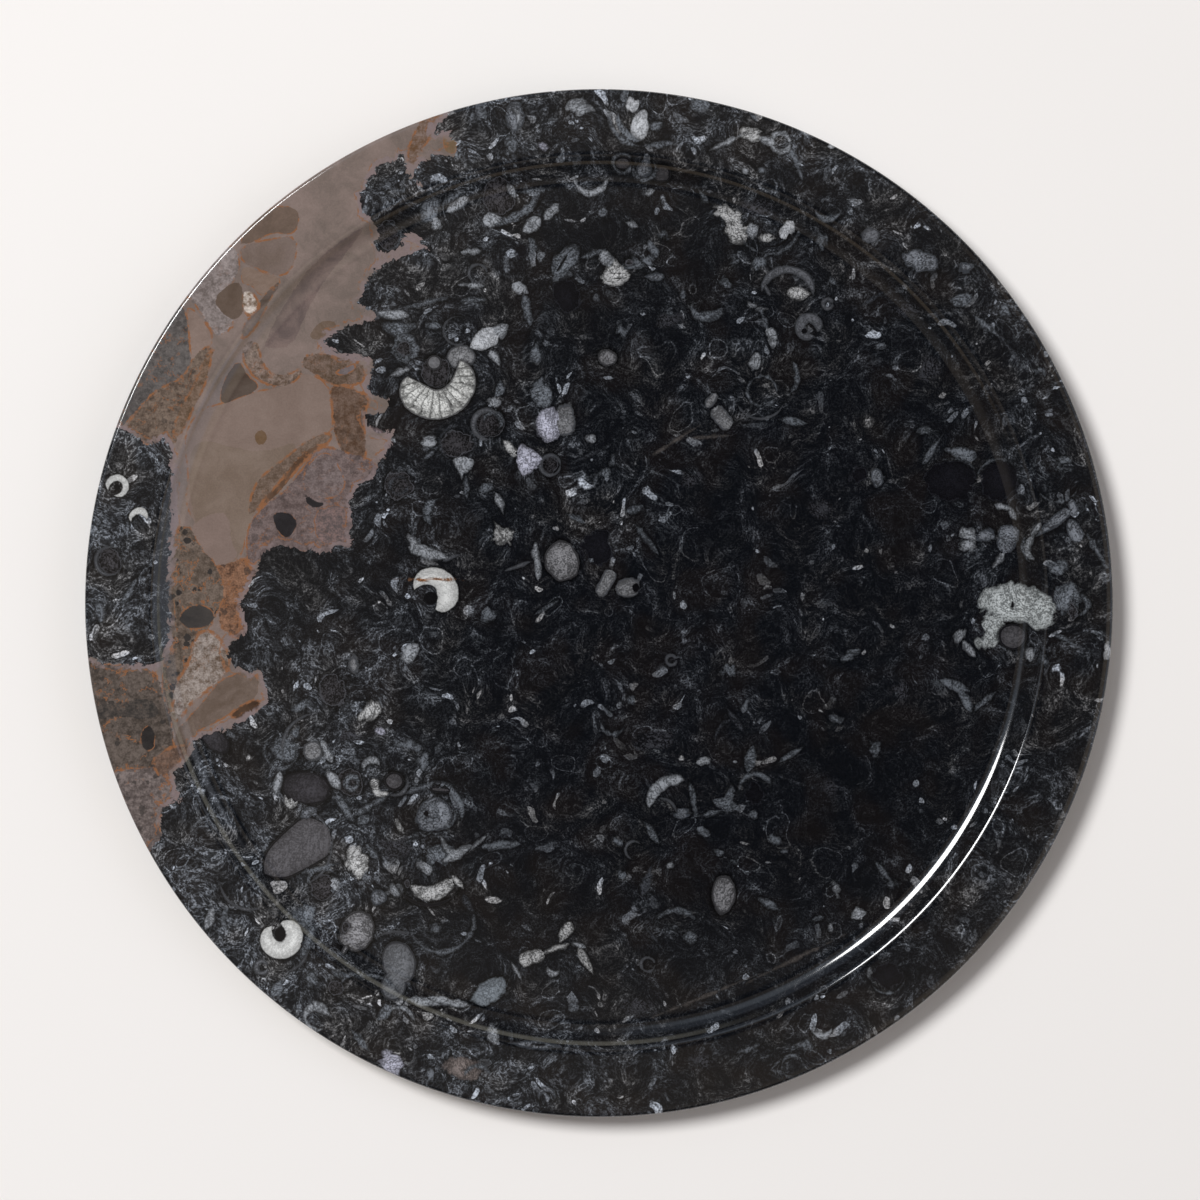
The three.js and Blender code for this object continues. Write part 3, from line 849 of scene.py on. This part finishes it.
def oval_frame(places, nearby, x, y, length, width, tilt=0):
    """Places measured in half lengths and half widths of an oval, and its smaller half."""
    along, across = turned(places, x, y, tilt)
    size = np.full(len(places), min(length, width) / 2)
    return np.stack((along * 2 / length, across * 2 / width, size), axis=1)


def arc_frame(places, nearby, x, y, radius, start, end, width, growth=0, ends=2):
    """Distance across an arc, half its width and the way along it, counted from nearby places."""
    middle = math.radians((start + end) / 2)
    reach = math.radians(end - start) / 2

    def bearing(where):
        angle = np.arctan2(where[:, 1] - y, where[:, 0] - x) - middle
        return (angle + math.pi) % math.tau - math.pi

    home = bearing(nearby)
    angle = home + (bearing(places) - home + math.pi) % math.tau - math.pi
    across = np.hypot(places[:, 0] - x, places[:, 1] - y) - radius
    halves = half_width(angle / reach, width, growth, ends)
    return np.stack((across, halves, angle * radius), axis=1)


def bar_frame(places, nearby, x, y, length, width, tilt, growth=0, ends=2):
    """Distance across a bar, half its width and the way along it."""
    along, across = turned(places, x, y, tilt)
    halves = half_width(along * 2 / length, width, growth, ends)
    return np.stack((across, halves, along), axis=1)


def figure_distance(are_strokes, frame_values):
    """How far places are from a figure's outline, in millimetres, from their frame."""
    first, second, third = frame_values.T
    if are_strokes:
        return np.abs(first) - second
    return (np.hypot(first, second) - 1) * third


# %% Layers of fossils
NEAR = 3.0  # how close a face lies to a fossil, in millimetres, to be drawn with its layer
# whether a layer's figures are strokes, and how the rows of its tables become frames
LAYERS = {
    "patches": (False, [(oval_frame, OVALS)]),
    "shells": (True, [(arc_frame, ARCS), (bar_frame, BARS)]),
    "spots": (False, [(oval_frame, SPOTS)]),
}


def store_layer(layer):
    """Gives each face to its nearest fossil of the layer, and stores that fossil's numbers."""
    are_strokes, tables = LAYERS[layer]
    figures = [
        (make_frame, filling, row)
        for make_frame, table in tables
        for filling, rows in table.items()
        for row in rows
    ]
    flat_middles = middles[:, :2]
    distances = [
        figure_distance(are_strokes, make_frame(flat_middles, flat_middles, *row))
        for make_frame, filling, row in figures
    ]
    owner = np.argmin(distances, axis=0)
    place = np.zeros((corner_count, 3))
    body, edge, build, wear = (np.zeros((face_count, 3)) for _ in range(4))
    for number, (make_frame, filling, row) in enumerate(figures):
        own_faces = owner == number
        own = own_faces[corner_faces]
        nearby = middles[corner_faces[own], :2]
        place[own] = make_frame(corners[own, :2], nearby, *row)
        colour, line_colour, line_width, halo, grain, ragged = FILLINGS[filling]
        body[own_faces] = paint(*colour)
        edge[own_faces] = paint(*line_colour)
        build[own_faces] = (line_width, GROWTH_LINES.get(filling, 0), 0)
        wear[own_faces] = (halo, grain, ragged)
    store(f"{layer} place", "CORNER", place)
    for name, values in {"body": body, "line": edge, "build": build, "wear": wear}.items():
        store(f"{layer} {name}", "FACE", values)
    print(f"{layer}: {len(figures)} fossils")
    return np.min(distances, axis=0) < NEAR


near = np.stack([store_layer(layer) for layer in LAYERS], axis=1)
near[:, 0] = near.any(axis=1)
store("near", "FACE", near)
print(f"near fossils: {near[:, 0].mean():.0%} of the faces, near spots: {near[:, 2].mean():.0%}")

# %% [markdown]
# ## Banks of shell
# Currents swept the shells together, so they lie thick towards the rim and in a few banks, and
# thin in the hollows between. A bank is a round patch that fades out from its middle. How
# crowded the shells are changes slowly, so it's worked out here once for each point of the mesh.


# %% Where the shells lie thick
CROWD_OUTWARD = 0.000036
CROWD_LEAN = (-0.0028, 0.0004, 0)
# x, y and reach in millimetres, and how many more shells lie there
BANKS = (
    (-82, -75, 55, 0.6),
    (-62, -28, 38, 0.8),
    (2, 24, 36, 0.6),
    (-12, 76, 24, 0.4),
    (74, -52, 50, -0.7),
    (-28, -92, 45, -0.6),
    (8, 110, 44, -0.6),
    (22, -62, 40, -0.3),
    (40, -126, 52, -0.6),
)


def bank(x, y, reach, more):
    """What a bank adds to each point: all of it at the middle, and nothing past its reach."""
    closeness = 1 - np.linalg.norm(points - (x, y, 0), axis=1) / reach
    closeness = np.clip(closeness, 0, 1)
    return closeness * closeness * (3 - 2 * closeness) * more


crowd = np.sum(points * points, axis=1) * CROWD_OUTWARD + points @ CROWD_LEAN
crowd += sum(bank(*row) for row in BANKS)
store("crowd", "POINT", np.stack((crowd, crowd, crowd), axis=1))
print(f"banks: {len(BANKS)}, shells from {crowd.min():.2f} to {crowd.max():.2f}")

# %% [markdown]
# ## Sums in the finish
# The finish works out its colours with many small Math nodes. Written one by one they would hide
# what they do, so a small class wraps a socket and lets ordinary sums add the nodes. Colours and
# vectors go through Mix and Vector Math instead, since a Math node would turn them grey.


# %% Amounts and finishes
class Amount:
    """A socket that carries a number, a vector or a colour."""

    def __init__(self, finish, socket):
        self.finish = finish
        self.socket = socket

    def sum(self, operation, *values):
        return self.finish.add("ShaderNodeMath", {"operation": operation}, dict(enumerate(values)))

    def __add__(self, other):
        return self.sum("ADD", self, other)

    def __radd__(self, other):
        return self.sum("ADD", other, self)

    def __sub__(self, other):
        return self.sum("SUBTRACT", self, other)

    def __rsub__(self, other):
        return self.sum("SUBTRACT", other, self)

    def __mul__(self, other):
        return self.sum("MULTIPLY", self, other)

    def __rmul__(self, other):
        return self.sum("MULTIPLY", other, self)

    def __truediv__(self, other):
        return self.sum("DIVIDE", self, other)

    def __abs__(self):
        return self.sum("ABSOLUTE", self)

    def fraction(self):
        return self.finish.add("ShaderNodeMath", {"operation": "FRACT"}, {0: self})

    def fade(self, low, high):
        """Goes smoothly from 0 at low to 1 at high; low may be the larger."""
        return self.finish.add(
            "ShaderNodeMapRange",
            {"interpolation_type": "SMOOTHSTEP"},
            {"Value": self, "From Min": low, "From Max": high},
        )


class Finish:
    """A material, and the nodes that make it."""

    def __init__(self, name):
        self.material = bpy.data.materials.new(name)
        self.material.use_nodes = True
        self.nodes = self.material.node_tree.nodes
        self.links = self.material.node_tree.links
        self.nodes.clear()
        self.nodes.new("ShaderNodeOutputMaterial")

    def feed(self, socket, value):
        if isinstance(value, Amount):
            self.links.new(value.socket, socket)
        else:
            socket.default_value = value

    def add(self, kind, settings, sockets, out=0):
        """Adds a node: first its settings, then the values or links of its sockets."""
        node = self.nodes.new(kind)
        for name, value in settings.items():
            setattr(node, name, value)
        for name, value in sockets.items():
            self.feed(node.inputs[name], value)
        return Amount(self, node.outputs[out])

    def stored(self, name):
        """Three numbers that were stored on the mesh."""
        return self.add("ShaderNodeAttribute", {"attribute_name": name}, {}, "Vector")

    def split(self, vector):
        """The three numbers of a vector."""
        node = self.nodes.new("ShaderNodeSeparateXYZ")
        self.feed(node.inputs[0], vector)
        return [Amount(self, output) for output in node.outputs]

    def mix(self, amount, first, second):
        """The first colour where the amount is 0 and the second where it is 1."""
        first, second = (c if isinstance(c, Amount) else (*c, 1) for c in (first, second))
        # sockets 6 and 7 of a Mix node are its two colours, and output 2 is the mixed one
        return self.add(
            "ShaderNodeMix", {"data_type": "RGBA"}, {0: amount, 6: first, 7: second}, out=2
        )

    def scale(self, vector, amount):
        """A vector, or a colour, made longer or brighter by an amount."""
        return self.add(
            "ShaderNodeVectorMath", {"operation": "SCALE"}, {0: vector, "Scale": amount}
        )

    def bend(self, place, drift, reach):
        """Moves a place by up to half the reach, as a noise colour tells it."""
        push = self.add(
            "ShaderNodeVectorMath", {"operation": "SUBTRACT"}, {0: drift, 1: (0.5, 0.5, 0.5)}
        )
        settings = {"operation": "MULTIPLY_ADD"}
        return self.add("ShaderNodeVectorMath", settings, {0: push, 1: (reach,) * 3, 2: place})

    def noise(self, place, scale, detail, roughness=0.5, out=0):
        sockets = {"Vector": place, "Scale": scale, "Detail": detail, "Roughness": roughness}
        return self.add("ShaderNodeTexNoise", {}, sockets, out)

    def cells(self, place, scale):
        """Distance from the middle of a cell, and three numbers that belong to the cell."""
        distance = self.add("ShaderNodeTexVoronoi", {}, {"Vector": place, "Scale": scale})
        own_colour = Amount(self, distance.socket.node.outputs["Color"])
        return distance, *self.split(own_colour)


# %% [markdown]
# ## Black limestone
# Between the placed fossils the rock is black mud, packed with crushed shell. It's made in depth,
# from noise in three dimensions, so the edge and the underside are cut from the same stone. One
# noise drifts slowly and bends the space, as the mud flowed before it set.

# %% Rock space and its drift
DRIFT_SCALE = 0.07  # how many waves of a noise there are per millimetre
FLOW = 26
STIR = 12
rock = Finish("polished fossil limestone")
place = rock.add("ShaderNodeTexCoord", {}, {}, "Object")
place = rock.scale(place, 1 / MM)
drift = rock.noise(place, DRIFT_SCALE, 1.0, 0.6, out="Color")
bent = rock.bend(place, drift, FLOW)
nudged = rock.bend(place, drift, STIR)
warmth, lumps, _ = rock.split(drift)
print(f"rock space: {len(rock.nodes)} nodes")

# %% [markdown]
# ## Wisps, bits and rings
# In the bent space the ridges of a second noise are wisps of shell, and a third gathers them in
# clouds. Closed outlines don't come from a noise, so round bits and hollow rings are made of
# cells, each with its own size and brightness.

# %% Wisps and clouds of shell
CROWD_SCALE = 0.05
CLOUD_SCALE = 0.17
STRAND_SCALE = 0.6
GRIT_SCALE = 1.9
HAZE_BRIGHTNESS = 0.03
CLOUD_BRIGHTNESS = 0.25
crowded, _, _ = rock.split(rock.stored("crowd"))
crowded = crowded + (rock.noise(place, CROWD_SCALE, 1.0) - 0.5) * 1.2
mass = rock.noise(bent, CLOUD_SCALE, 3.0, 0.72)
strand = abs(rock.noise(nudged, STRAND_SCALE, 2.0, 0.7) - 0.5)
grit = rock.noise(place, GRIT_SCALE, 0.0)
level = mass - 0.5 + (crowded - 0.5) * 0.14
thread = strand.fade(0.1, 0.0)
grain = grit.fade(0.15, 0.85)
haze = (level.fade(-0.25, 0.1) + 0.12) * (0.16 + thread * 1.3) * grain * HAZE_BRIGHTNESS
cloud = level.fade(-0.05, 0.18)
shade = cloud * (0.25 + thread * 0.75) * (0.42 + grain * 0.62) * CLOUD_BRIGHTNESS
glints = (mass * 3 + grain * 0.9 - thread * 0.8).fade(0.9, 2.4)
print(f"wisps: {len(rock.nodes)} nodes so far")

# %% Bits and rings of shell
BIT_SCALE = 0.24
RING_SCALE = 0.105
facet, size, glow, kind = rock.cells(bent, BIT_SCALE)
gap = facet - size * size * 0.5 - (mass - 0.5) * 0.8
chosen = (crowded * 0.8 + 0.54 - kind).fade(-0.05, 0.15)
shade = shade * (1 - gap.fade(0.24, 0.06) * chosen * 0.75)
bit = gap.fade(0.05, -0.05) * chosen * (glow * glow * 0.36 + 0.03)
shade = shade + bit * (0.35 + grain * 0.7 + thread * 0.3)
reach, size, glow, kind = rock.cells(nudged, RING_SCALE)
edge = reach - size * 0.36 - 0.1 - (mass - 0.5) * 0.25
whole = (mass + (glow - 0.5) * 0.5 + crowded * 0.1).fade(0.48, 0.7)
ring = abs(edge).fade(0.035, 0.0) * whole
inside = edge.fade(0.0, -0.02) * kind.fade(0.3, 0.6)
shade = shade * (1 - inside * 0.7) + ring * (0.03 + grain * 0.16)
print(f"bits and rings: {len(rock.nodes)} nodes so far")

# %% Mud and shell colours
shade = haze + shade * (0.5 + shade * 5.6) * (crowded * 0.28 + 0.53)
mud = rock.mix(warmth.fade(0.46, 0.66), paint(8, 10, 14), paint(15, 13, 14))
shell = rock.mix(lumps.fade(0.45, 0.65), paint(192, 200, 212), paint(202, 202, 204))
stone = rock.mix(shade, mud, shell)
print(f"limestone: {len(rock.nodes)} nodes so far")

# %% [markdown]
# ## The vein's stone
# The fillings are painted one over the other, in the order of the list. Each is a mottle of two
# colours, with a ragged border, a rusty line along some borders, and dark grains and rusty cracks
# where the rock broke up before it was filled. Water left the finer bands, which follow the
# blotches, and a pale crust along the walls of the vein.

# %% Mottles, cracks and grains of the vein
RAGGED_SCALE = 0.5
BLOTCH_SCALE = 0.1
RUST_SCALE = 0.35
GRAIN_SCALE = 0.45
ragged = rock.noise(place, RAGGED_SCALE, 4.0, 0.65) - 0.5
blotch = rock.noise(nudged, BLOTCH_SCALE, 5.0, 0.65)
soft = blotch.fade(0.3, 0.7)
rough = (blotch * 0.66 + ragged * 1.2 + grain * 0.14).fade(0.12, 0.7)
rust_amount = rock.noise(place, RUST_SCALE, 3.0, 0.6).fade(0.42, 0.6)
reach, size, glow, kind = rock.cells(place, GRAIN_SCALE)
crack = abs(blotch - 0.52).fade(0.014, 0.004) * rust_amount
clast = (reach - size * 0.55 + ragged * 0.8).fade(0.04, -0.04) * kind.fade(0.35, 0.55)
print(f"mottles: {len(rock.nodes)} nodes so far")

# %% Kinds of stone in the vein
RUST = paint(130, 88, 60)
CRUST = paint(122, 108, 108)
GRAIN = paint(46, 43, 42)
# two colours, ragged border, rusty line width, dark grains
STONES = {
    "vein": ((104, 93, 87), (126, 111, 105), 7.0, 0.0, 0.0),
    "grey stone": ((68, 65, 64), (100, 95, 93), 1.6, 0.3, 0.4),
    "brown shade": ((82, 69, 60), (104, 88, 78), 1.0, 0.3, 0.0),
    "facet": ((102, 88, 80), (114, 100, 94), 0.6, 0.4, 0.0),
    "tan facet": ((112, 94, 82), (128, 111, 102), 0.6, 0.2, 0.0),
    "speckled band": ((98, 89, 86), (144, 134, 132), 2.0, 0.4, 0.1),
    "olive wedge": ((82, 68, 58), (96, 82, 73), 0.8, 0.0, 0.0),
    "brown band": ((72, 61, 52), (110, 98, 94), 1.2, 0.4, 0.0),
    "cream crystal": ((96, 76, 58), (200, 190, 182), 1.0, 0.5, 0.1),
    "pink band": ((110, 94, 86), (130, 113, 105), 1.0, 0.4, 0.0),
    "brown rock": ((70, 58, 50), (116, 101, 90), 2.0, 0.4, 0.4),
    "ochre band": ((80, 62, 46), (118, 99, 86), 1.2, 0.5, 0.1),
    # darker lilac band: painted shade and sheen of the step over the vein's stone
    "lilac step shade and sheen": ((88, 77, 75), (118, 102, 97), 1.6, 0.0, 0.0),
    "smooth fill": ((115, 99, 91), (125, 109, 101), 0.6, 0.4, 0.0),
    "lower fill": ((108, 93, 82), (121, 106, 96), 1.6, 0.0, 0.0),
    "pink fill": ((116, 100, 93), (125, 108, 101), 1.2, 0.0, 0.0),
    "olive rim of the fill": ((84, 68, 56), (116, 100, 90), 0.8, 0.5, 0.1),
    "rust line": ((68, 48, 34), (98, 76, 62), 1.0, 0.6, 0.0),
    "fill spots": ((96, 74, 52), (107, 87, 71), 0.6, 0.0, 0.0),
    "brown inlet": ((74, 54, 40), (108, 90, 80), 2.0, 0.5, 0.2),
    "olive inlet": ((74, 58, 44), (114, 97, 88), 1.6, 0.5, 0.1),
    "lilac lens": ((84, 76, 76), (124, 114, 116), 0.6, 0.3, 0.0),
    "olive blob": ((90, 74, 60), (111, 95, 85), 0.8, 0.0, 0.0),
    # darker than the olive stone round it: painted shade of the step
    "olive in painted step shade": ((68, 56, 48), (87, 76, 69), 0.8, 0.2, 0.0),
    "crystal ridge": ((82, 66, 54), (136, 120, 112), 1.4, 0.5, 0.3),
    "breccia": ((80, 68, 66), (116, 102, 100), 2.0, 0.4, 0.3),
    "pink crystals": ((86, 74, 72), (120, 108, 107), 1.6, 0.3, 0.1),
    "grey breccia": ((76, 70, 70), (126, 105, 102), 1.8, 0.2, 0.1),
    "teardrop": ((26, 25, 28), (50, 49, 52), 0.6, 0.2, 0.0),
    "dashes": ((24, 22, 24), (40, 38, 40), 0.8, 0.0, 0.0),
    "orange crust": ((76, 54, 42), (140, 104, 82), 2.2, 0.6, 0.6),
    "olive matrix": ((70, 60, 52), (112, 99, 90), 2.2, 0.3, 1.0),
    "dark oval": ((42, 41, 42), (64, 60, 58), 1.0, 0.3, 0.0),
    "white crystals": ((86, 70, 58), (154, 144, 138), 1.6, 0.7, 0.2),
    "grey-tan fill": ((86, 72, 62), (112, 98, 90), 1.2, 0.3, 0.0),
    "brown blob": ((44, 28, 18), (76, 57, 44), 1.0, 0.5, 0.0),
    "speckled rim": ((58, 51, 46), (100, 90, 84), 2.2, 0.3, 0.8),
    "dark stripe": ((44, 42, 41), (84, 76, 71), 1.8, 0.0, 0.1),
    "dark inclusion": ((30, 28, 29), (52, 49, 48), 1.0, 0.2, 0.0),
    "pink rim": ((72, 64, 62), (124, 113, 110), 2.2, 0.4, 0.6),
    "rusty knot": ((74, 58, 50), (114, 92, 80), 1.6, 0.6, 0.1),
    "pocket": ((90, 66, 46), (120, 104, 97), 1.4, 0.5, 0.1),
    "tan patch": ((102, 84, 64), (124, 106, 88), 1.0, 0.2, 0.0),
}
print(f"stones: {len(STONES)} kinds")

# %% Paint the vein
EDGE_BLUR = 0.12
stored_distances = []
for name in vein_names:
    if not stored_distances:
        number = vein_names.index(name) // 3
        stored_distances = rock.split(rock.stored(f"vein {number}"))
    colour, second, border, rust, grains = STONES[name]
    distance = stored_distances.pop(0)
    body = rock.mix(rough if grains else soft, paint(*colour), paint(*second))
    if grains:
        body = rock.mix(crack * grains * 2, rock.mix(clast * grains, body, GRAIN), RUST)
    if name == "vein":
        wall = distance + (mass - 0.5) * border
        vein_stone = body
        continue
    distance = distance + ragged * border
    vein_stone = rock.mix(distance.fade(EDGE_BLUR, -EDGE_BLUR), vein_stone, body)
    if rust:
        vein_stone = rock.mix(abs(distance).fade(rust, rust * 0.4) * rust_amount, vein_stone, RUST)
print(f"vein: {len(rock.nodes)} nodes so far")

# %% Crusts and bands along the walls
crust = wall.fade(-1.7, -1.1) * blotch.fade(0.35, 0.6)
vein_stone = rock.mix(crust, vein_stone, CRUST)
vein_stone = rock.mix(abs(wall + 1.9).fade(0.4, 0.1) * rust_amount * 0.8, vein_stone, RUST)
bands = (blotch * 16).fraction()
vein_stone = rock.scale(vein_stone, 0.92 + bands * 0.07 + grain * 0.1)
inside_vein = wall.fade(EDGE_BLUR, -EDGE_BLUR)
print(f"crusts: {len(rock.nodes)} nodes so far")

# %% [markdown]
# ## Drawing the fossils
# A layer is drawn over the colour under it: a dark rim of crushed rock, the body, growth lines,
# and a line round the edge. Where an outline lies comes from the stored frame, and the same noise
# that made the rock frays it, so shell and rock look as if one saw had cut them. A shell is paler
# towards its middle, where the filling is thick.

# %% Paint the placed fossils
HALO_REACH = 1.4
STROKE_FRAY = 0.55  # arcs and bars are thin, so they fray less than ovals
RIB_DARKNESS = 0.8
fray = (mass - 0.5) * 2.4 + (strand - 0.08) * 1.5 + (facet - 0.4) * 1.4


def draw_fossils(under, layer):
    """Draws one layer of fossils over the colour under them."""
    are_strokes, _ = LAYERS[layer]
    first, second, third = rock.split(rock.stored(f"{layer} place"))
    line_width, growth_lines, _ = rock.split(rock.stored(f"{layer} build"))
    halo, speckle, ragged = rock.split(rock.stored(f"{layer} wear"))
    if are_strokes:
        distance = abs(first) - second + fray * ragged * STROKE_FRAY
    else:
        flat = rock.add("ShaderNodeCombineXYZ", {}, {0: first, 1: second})
        reach = rock.add("ShaderNodeVectorMath", {"operation": "LENGTH"}, {0: flat}, "Value")
        distance = (reach - 1) * third + fray * ragged
    under = rock.scale(under, 1 - distance.fade(HALO_REACH, 0.0) * halo)
    depth = distance.fade(0.3, -4.0)
    mottling = 1 - (1 - glints) * speckle * 0.75
    brightness = (0.95 + depth * 0.7) * mottling * (crowded * 0.3 + 0.84)
    body = rock.scale(rock.stored(f"{layer} body"), brightness)
    if are_strokes:
        turns = third * growth_lines + strand * 0.6 + mass
        ribs = abs(turns.fraction() - 0.5)
        ribbed = ribs.fade(0.3, 0.5) * growth_lines.fade(0.0, 0.1) * (0.4 + grain * 0.8)
        body = rock.scale(body, 1 - ribbed * RIB_DARKNESS)
    line_mask = abs(distance + line_width * 0.5).fade(line_width * 0.8, line_width * 0.2)
    body = rock.mix(line_mask, body, rock.stored(f"{layer} line"))
    inside = (distance / (0.12 + ragged * 0.26)).fade(1.0, -1.0)
    return rock.mix(inside, under, body)


POLISH_ROUGHNESS = 0.07
STONE_INDEX = 1.52


def polished(colour):
    """Stone of this colour under the polish."""
    surface = {"Base Color": colour, "Roughness": POLISH_ROUGHNESS, "IOR": STONE_INDEX}
    return rock.add("ShaderNodeBsdfPrincipled", {}, surface)


# %% [markdown]
# ## One polished face
# The whole plate has one polish: smooth, with a clear glassy shine. Mix Shader works out only one
# of its two sides where its factor is 0 or 1, so splitting the rock, the fossils and the vein
# there keeps the render quick.

# %% Put the finish together
def divided(factor, first, second):
    """The first surface where the factor is 0 and the second where it is 1."""
    return rock.add("ShaderNodeMixShader", {}, {0: factor, 1: first, 2: second})


near_fossils, _, near_spots = rock.split(rock.stored("near"))
plain_rock = polished(stone)
for layer in ("patches", "shells"):
    stone = draw_fossils(stone, layer)
spotted_rock = polished(draw_fossils(stone, "spots"))
fossil_rock = divided(near_spots, polished(stone), spotted_rock)
black_rock = divided(near_fossils, plain_rock, fossil_rock)
slab_rock = divided(inside_vein, black_rock, polished(vein_stone))
rock.feed(rock.nodes["Material Output"].inputs["Surface"], slab_rock)
plate_mesh.materials.append(rock.material)
print(f"finish: {len(rock.nodes)} nodes")

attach(plate, "root")
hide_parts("plate")

# %% [markdown]
# ## Floor, light and camera
# The plate lies on a plain pale floor. One soft lamp stands to the upper left, and the pale walls
# of the room fill in the shadow. The air straight above is dark, because whatever is there shows
# in the polish. The round step shows the whole room as thin bands, so each patch of light or
# shade below is one stretch of them, on the side of the plate that's opposite to the patch.

# %% Floor
FLOOR_SIZE = 6.0
floor_shape = bmesh.new()
bmesh.ops.create_grid(floor_shape, x_segments=1, y_segments=1, size=FLOOR_SIZE / 2)
floor_mesh = bpy.data.meshes.new("floor")
floor_shape.to_mesh(floor_mesh)
floor_shape.free()
floor = bpy.data.objects.new("floor", floor_mesh)
bpy.context.scene.collection.objects.link(floor)
paper = Finish("pale paper")
sheet = {"Base Color": (*paint(238, 235, 232), 1), "Roughness": 0.9, "Specular IOR Level": 0.1}
paper.feed(
    paper.nodes["Material Output"].inputs["Surface"],
    paper.add("ShaderNodeBsdfPrincipled", {}, sheet),
)
floor_mesh.materials.append(paper.material)
print(f"floor: {FLOOR_SIZE} m wide")

# %% Lamp
LAMP_DISTANCE = 3.2
LAMP_BEARING = math.radians(142)
LAMP_TILT = math.radians(28)
LAMP_WIDTH = 1.0
LAMP_POWER = 86
lamp_data = bpy.data.lights.new("soft lamp", "AREA")
lamp_data.shape = "DISK"
lamp_data.size = LAMP_WIDTH
lamp_data.energy = LAMP_POWER
lamp = bpy.data.objects.new("soft lamp", lamp_data)
bpy.context.scene.collection.objects.link(lamp)
lamp_side = math.sin(LAMP_TILT) * LAMP_DISTANCE
lamp.location = (
    lamp_side * math.cos(LAMP_BEARING),
    lamp_side * math.sin(LAMP_BEARING),
    math.cos(LAMP_TILT) * LAMP_DISTANCE,
)
lamp.rotation_euler = lamp.location.to_track_quat("Z", "Y").to_euler()
print(f"lamp: {lamp.location.z:.2f} m over the floor")

# %% Room
class Room(Finish):
    """The nodes of the world."""

    def __init__(self, world):
        self.nodes = world.node_tree.nodes
        self.links = world.node_tree.links


def toward(bearing, height):
    """A direction, from its compass bearing and its height over the horizon in degrees."""
    bearing, height = math.radians(bearing), math.radians(height)
    level = math.cos(height)
    return (level * math.cos(bearing), level * math.sin(bearing), math.sin(height))


world = bpy.data.worlds.new("room")
bpy.context.scene.world = world
world.use_nodes = True
# the room has no small bright spot, so aiming light rays at it would only take time
world.cycles.sampling_method = "NONE"
room = Room(world)
sight = room.add("ShaderNodeTexCoord", {}, {}, "Generated")


def nearness(direction):
    """Cosine of the angle to a direction of the room."""
    return room.add(
        "ShaderNodeVectorMath", {"operation": "DOT_PRODUCT"}, {0: sight, 1: direction}, "Value"
    )


# %% Patches of light and shade in the room
WALLS = (0.86, 0.67, 0.49)
LATE_SUN = (1.25, 1.2, 1.02)
CEILING = (0.27, 0.235, 0.205)
WARM = (0.9, 0.76, 0.62)
DARK = (0.02, 0.02, 0.025)
SHADE = (0.07, 0.065, 0.065)
WINDOW = (0.8, 0.84, 0.95)
GLOW = (0.75, 0.85, 1.0)
SKY = (0.3, 0.34, 0.42)
BROWN = (0.5, 0.4, 0.3)
# bearing and height of the middle, cosines of the angles to its rim and to its full colour
WALL_PATCHES = (
    (165, 12, 0.5, 0.8, SHADE),
    (218, 10, 0.72, 0.92, SHADE),
    (-15, 45, 0.7, 0.93, WARM),
    (35, 30, 0.6, 0.85, SHADE),
    (90, 10, 0.7, 0.92, SHADE),
    (118, 46, 0.92, 0.985, SKY),
    (265, 25, 0.6, 0.9, SHADE),
)
# top and full colour as sines of their height, bearing, cosines as above
STRIPS = (
    (0.3, 0.08, 46, 0.35, 0.75, LATE_SUN),
    (0.22, 0.06, 258, 0.5, 0.8, BROWN),
)
UPPER_PATCHES = (
    (0, 88, 0.9945, 0.9985, DARK),
    (148, 66, 0.968, 0.995, GLOW),
    (120, 62, 0.965, 0.995, GLOW),
    (-12, 28, 0.86, 0.95, WINDOW),
    (8, 44, 0.93, 0.98, WINDOW),
)


def with_patches(air, patches):
    """Paints round patches on the room, each over the ones before it."""
    for bearing, middle, rim, full, colour in patches:
        air = room.mix(nearness(toward(bearing, middle)).fade(rim, full), air, colour)
    return air


height = nearness((0, 0, 1))
air = room.mix(height.fade(0.15, 0.75), WALLS, CEILING)
air = with_patches(air, WALL_PATCHES)
for top, full_height, bearing, rim, full, colour in STRIPS:
    strip = height.fade(top, full_height) * nearness(toward(bearing, 0)).fade(rim, full)
    air = room.mix(strip, air, colour)
air = with_patches(air, UPPER_PATCHES)
room.feed(room.nodes["Background"].inputs["Color"], air)
print(f"room: {len(room.nodes)} nodes")

# %% Camera
CAMERA_PLACE = (0.0003, 0.0009, 1.45)
FRAME_WIDTH = 0.3558
SENSOR_WIDTH = 36
camera_data = bpy.data.cameras.new("camera")
camera_data.sensor_width = SENSOR_WIDTH
camera_data.lens = SENSOR_WIDTH * (CAMERA_PLACE[2] - plate_height * MM) / FRAME_WIDTH
camera = bpy.data.objects.new("camera", camera_data)
bpy.context.scene.collection.objects.link(camera)
camera.location = CAMERA_PLACE
bpy.context.scene.camera = camera
bpy.context.scene.view_settings.view_transform = "Standard"
print(f"camera: lens {camera_data.lens:.1f} mm, {CAMERA_PLACE[2]} m over the floor")
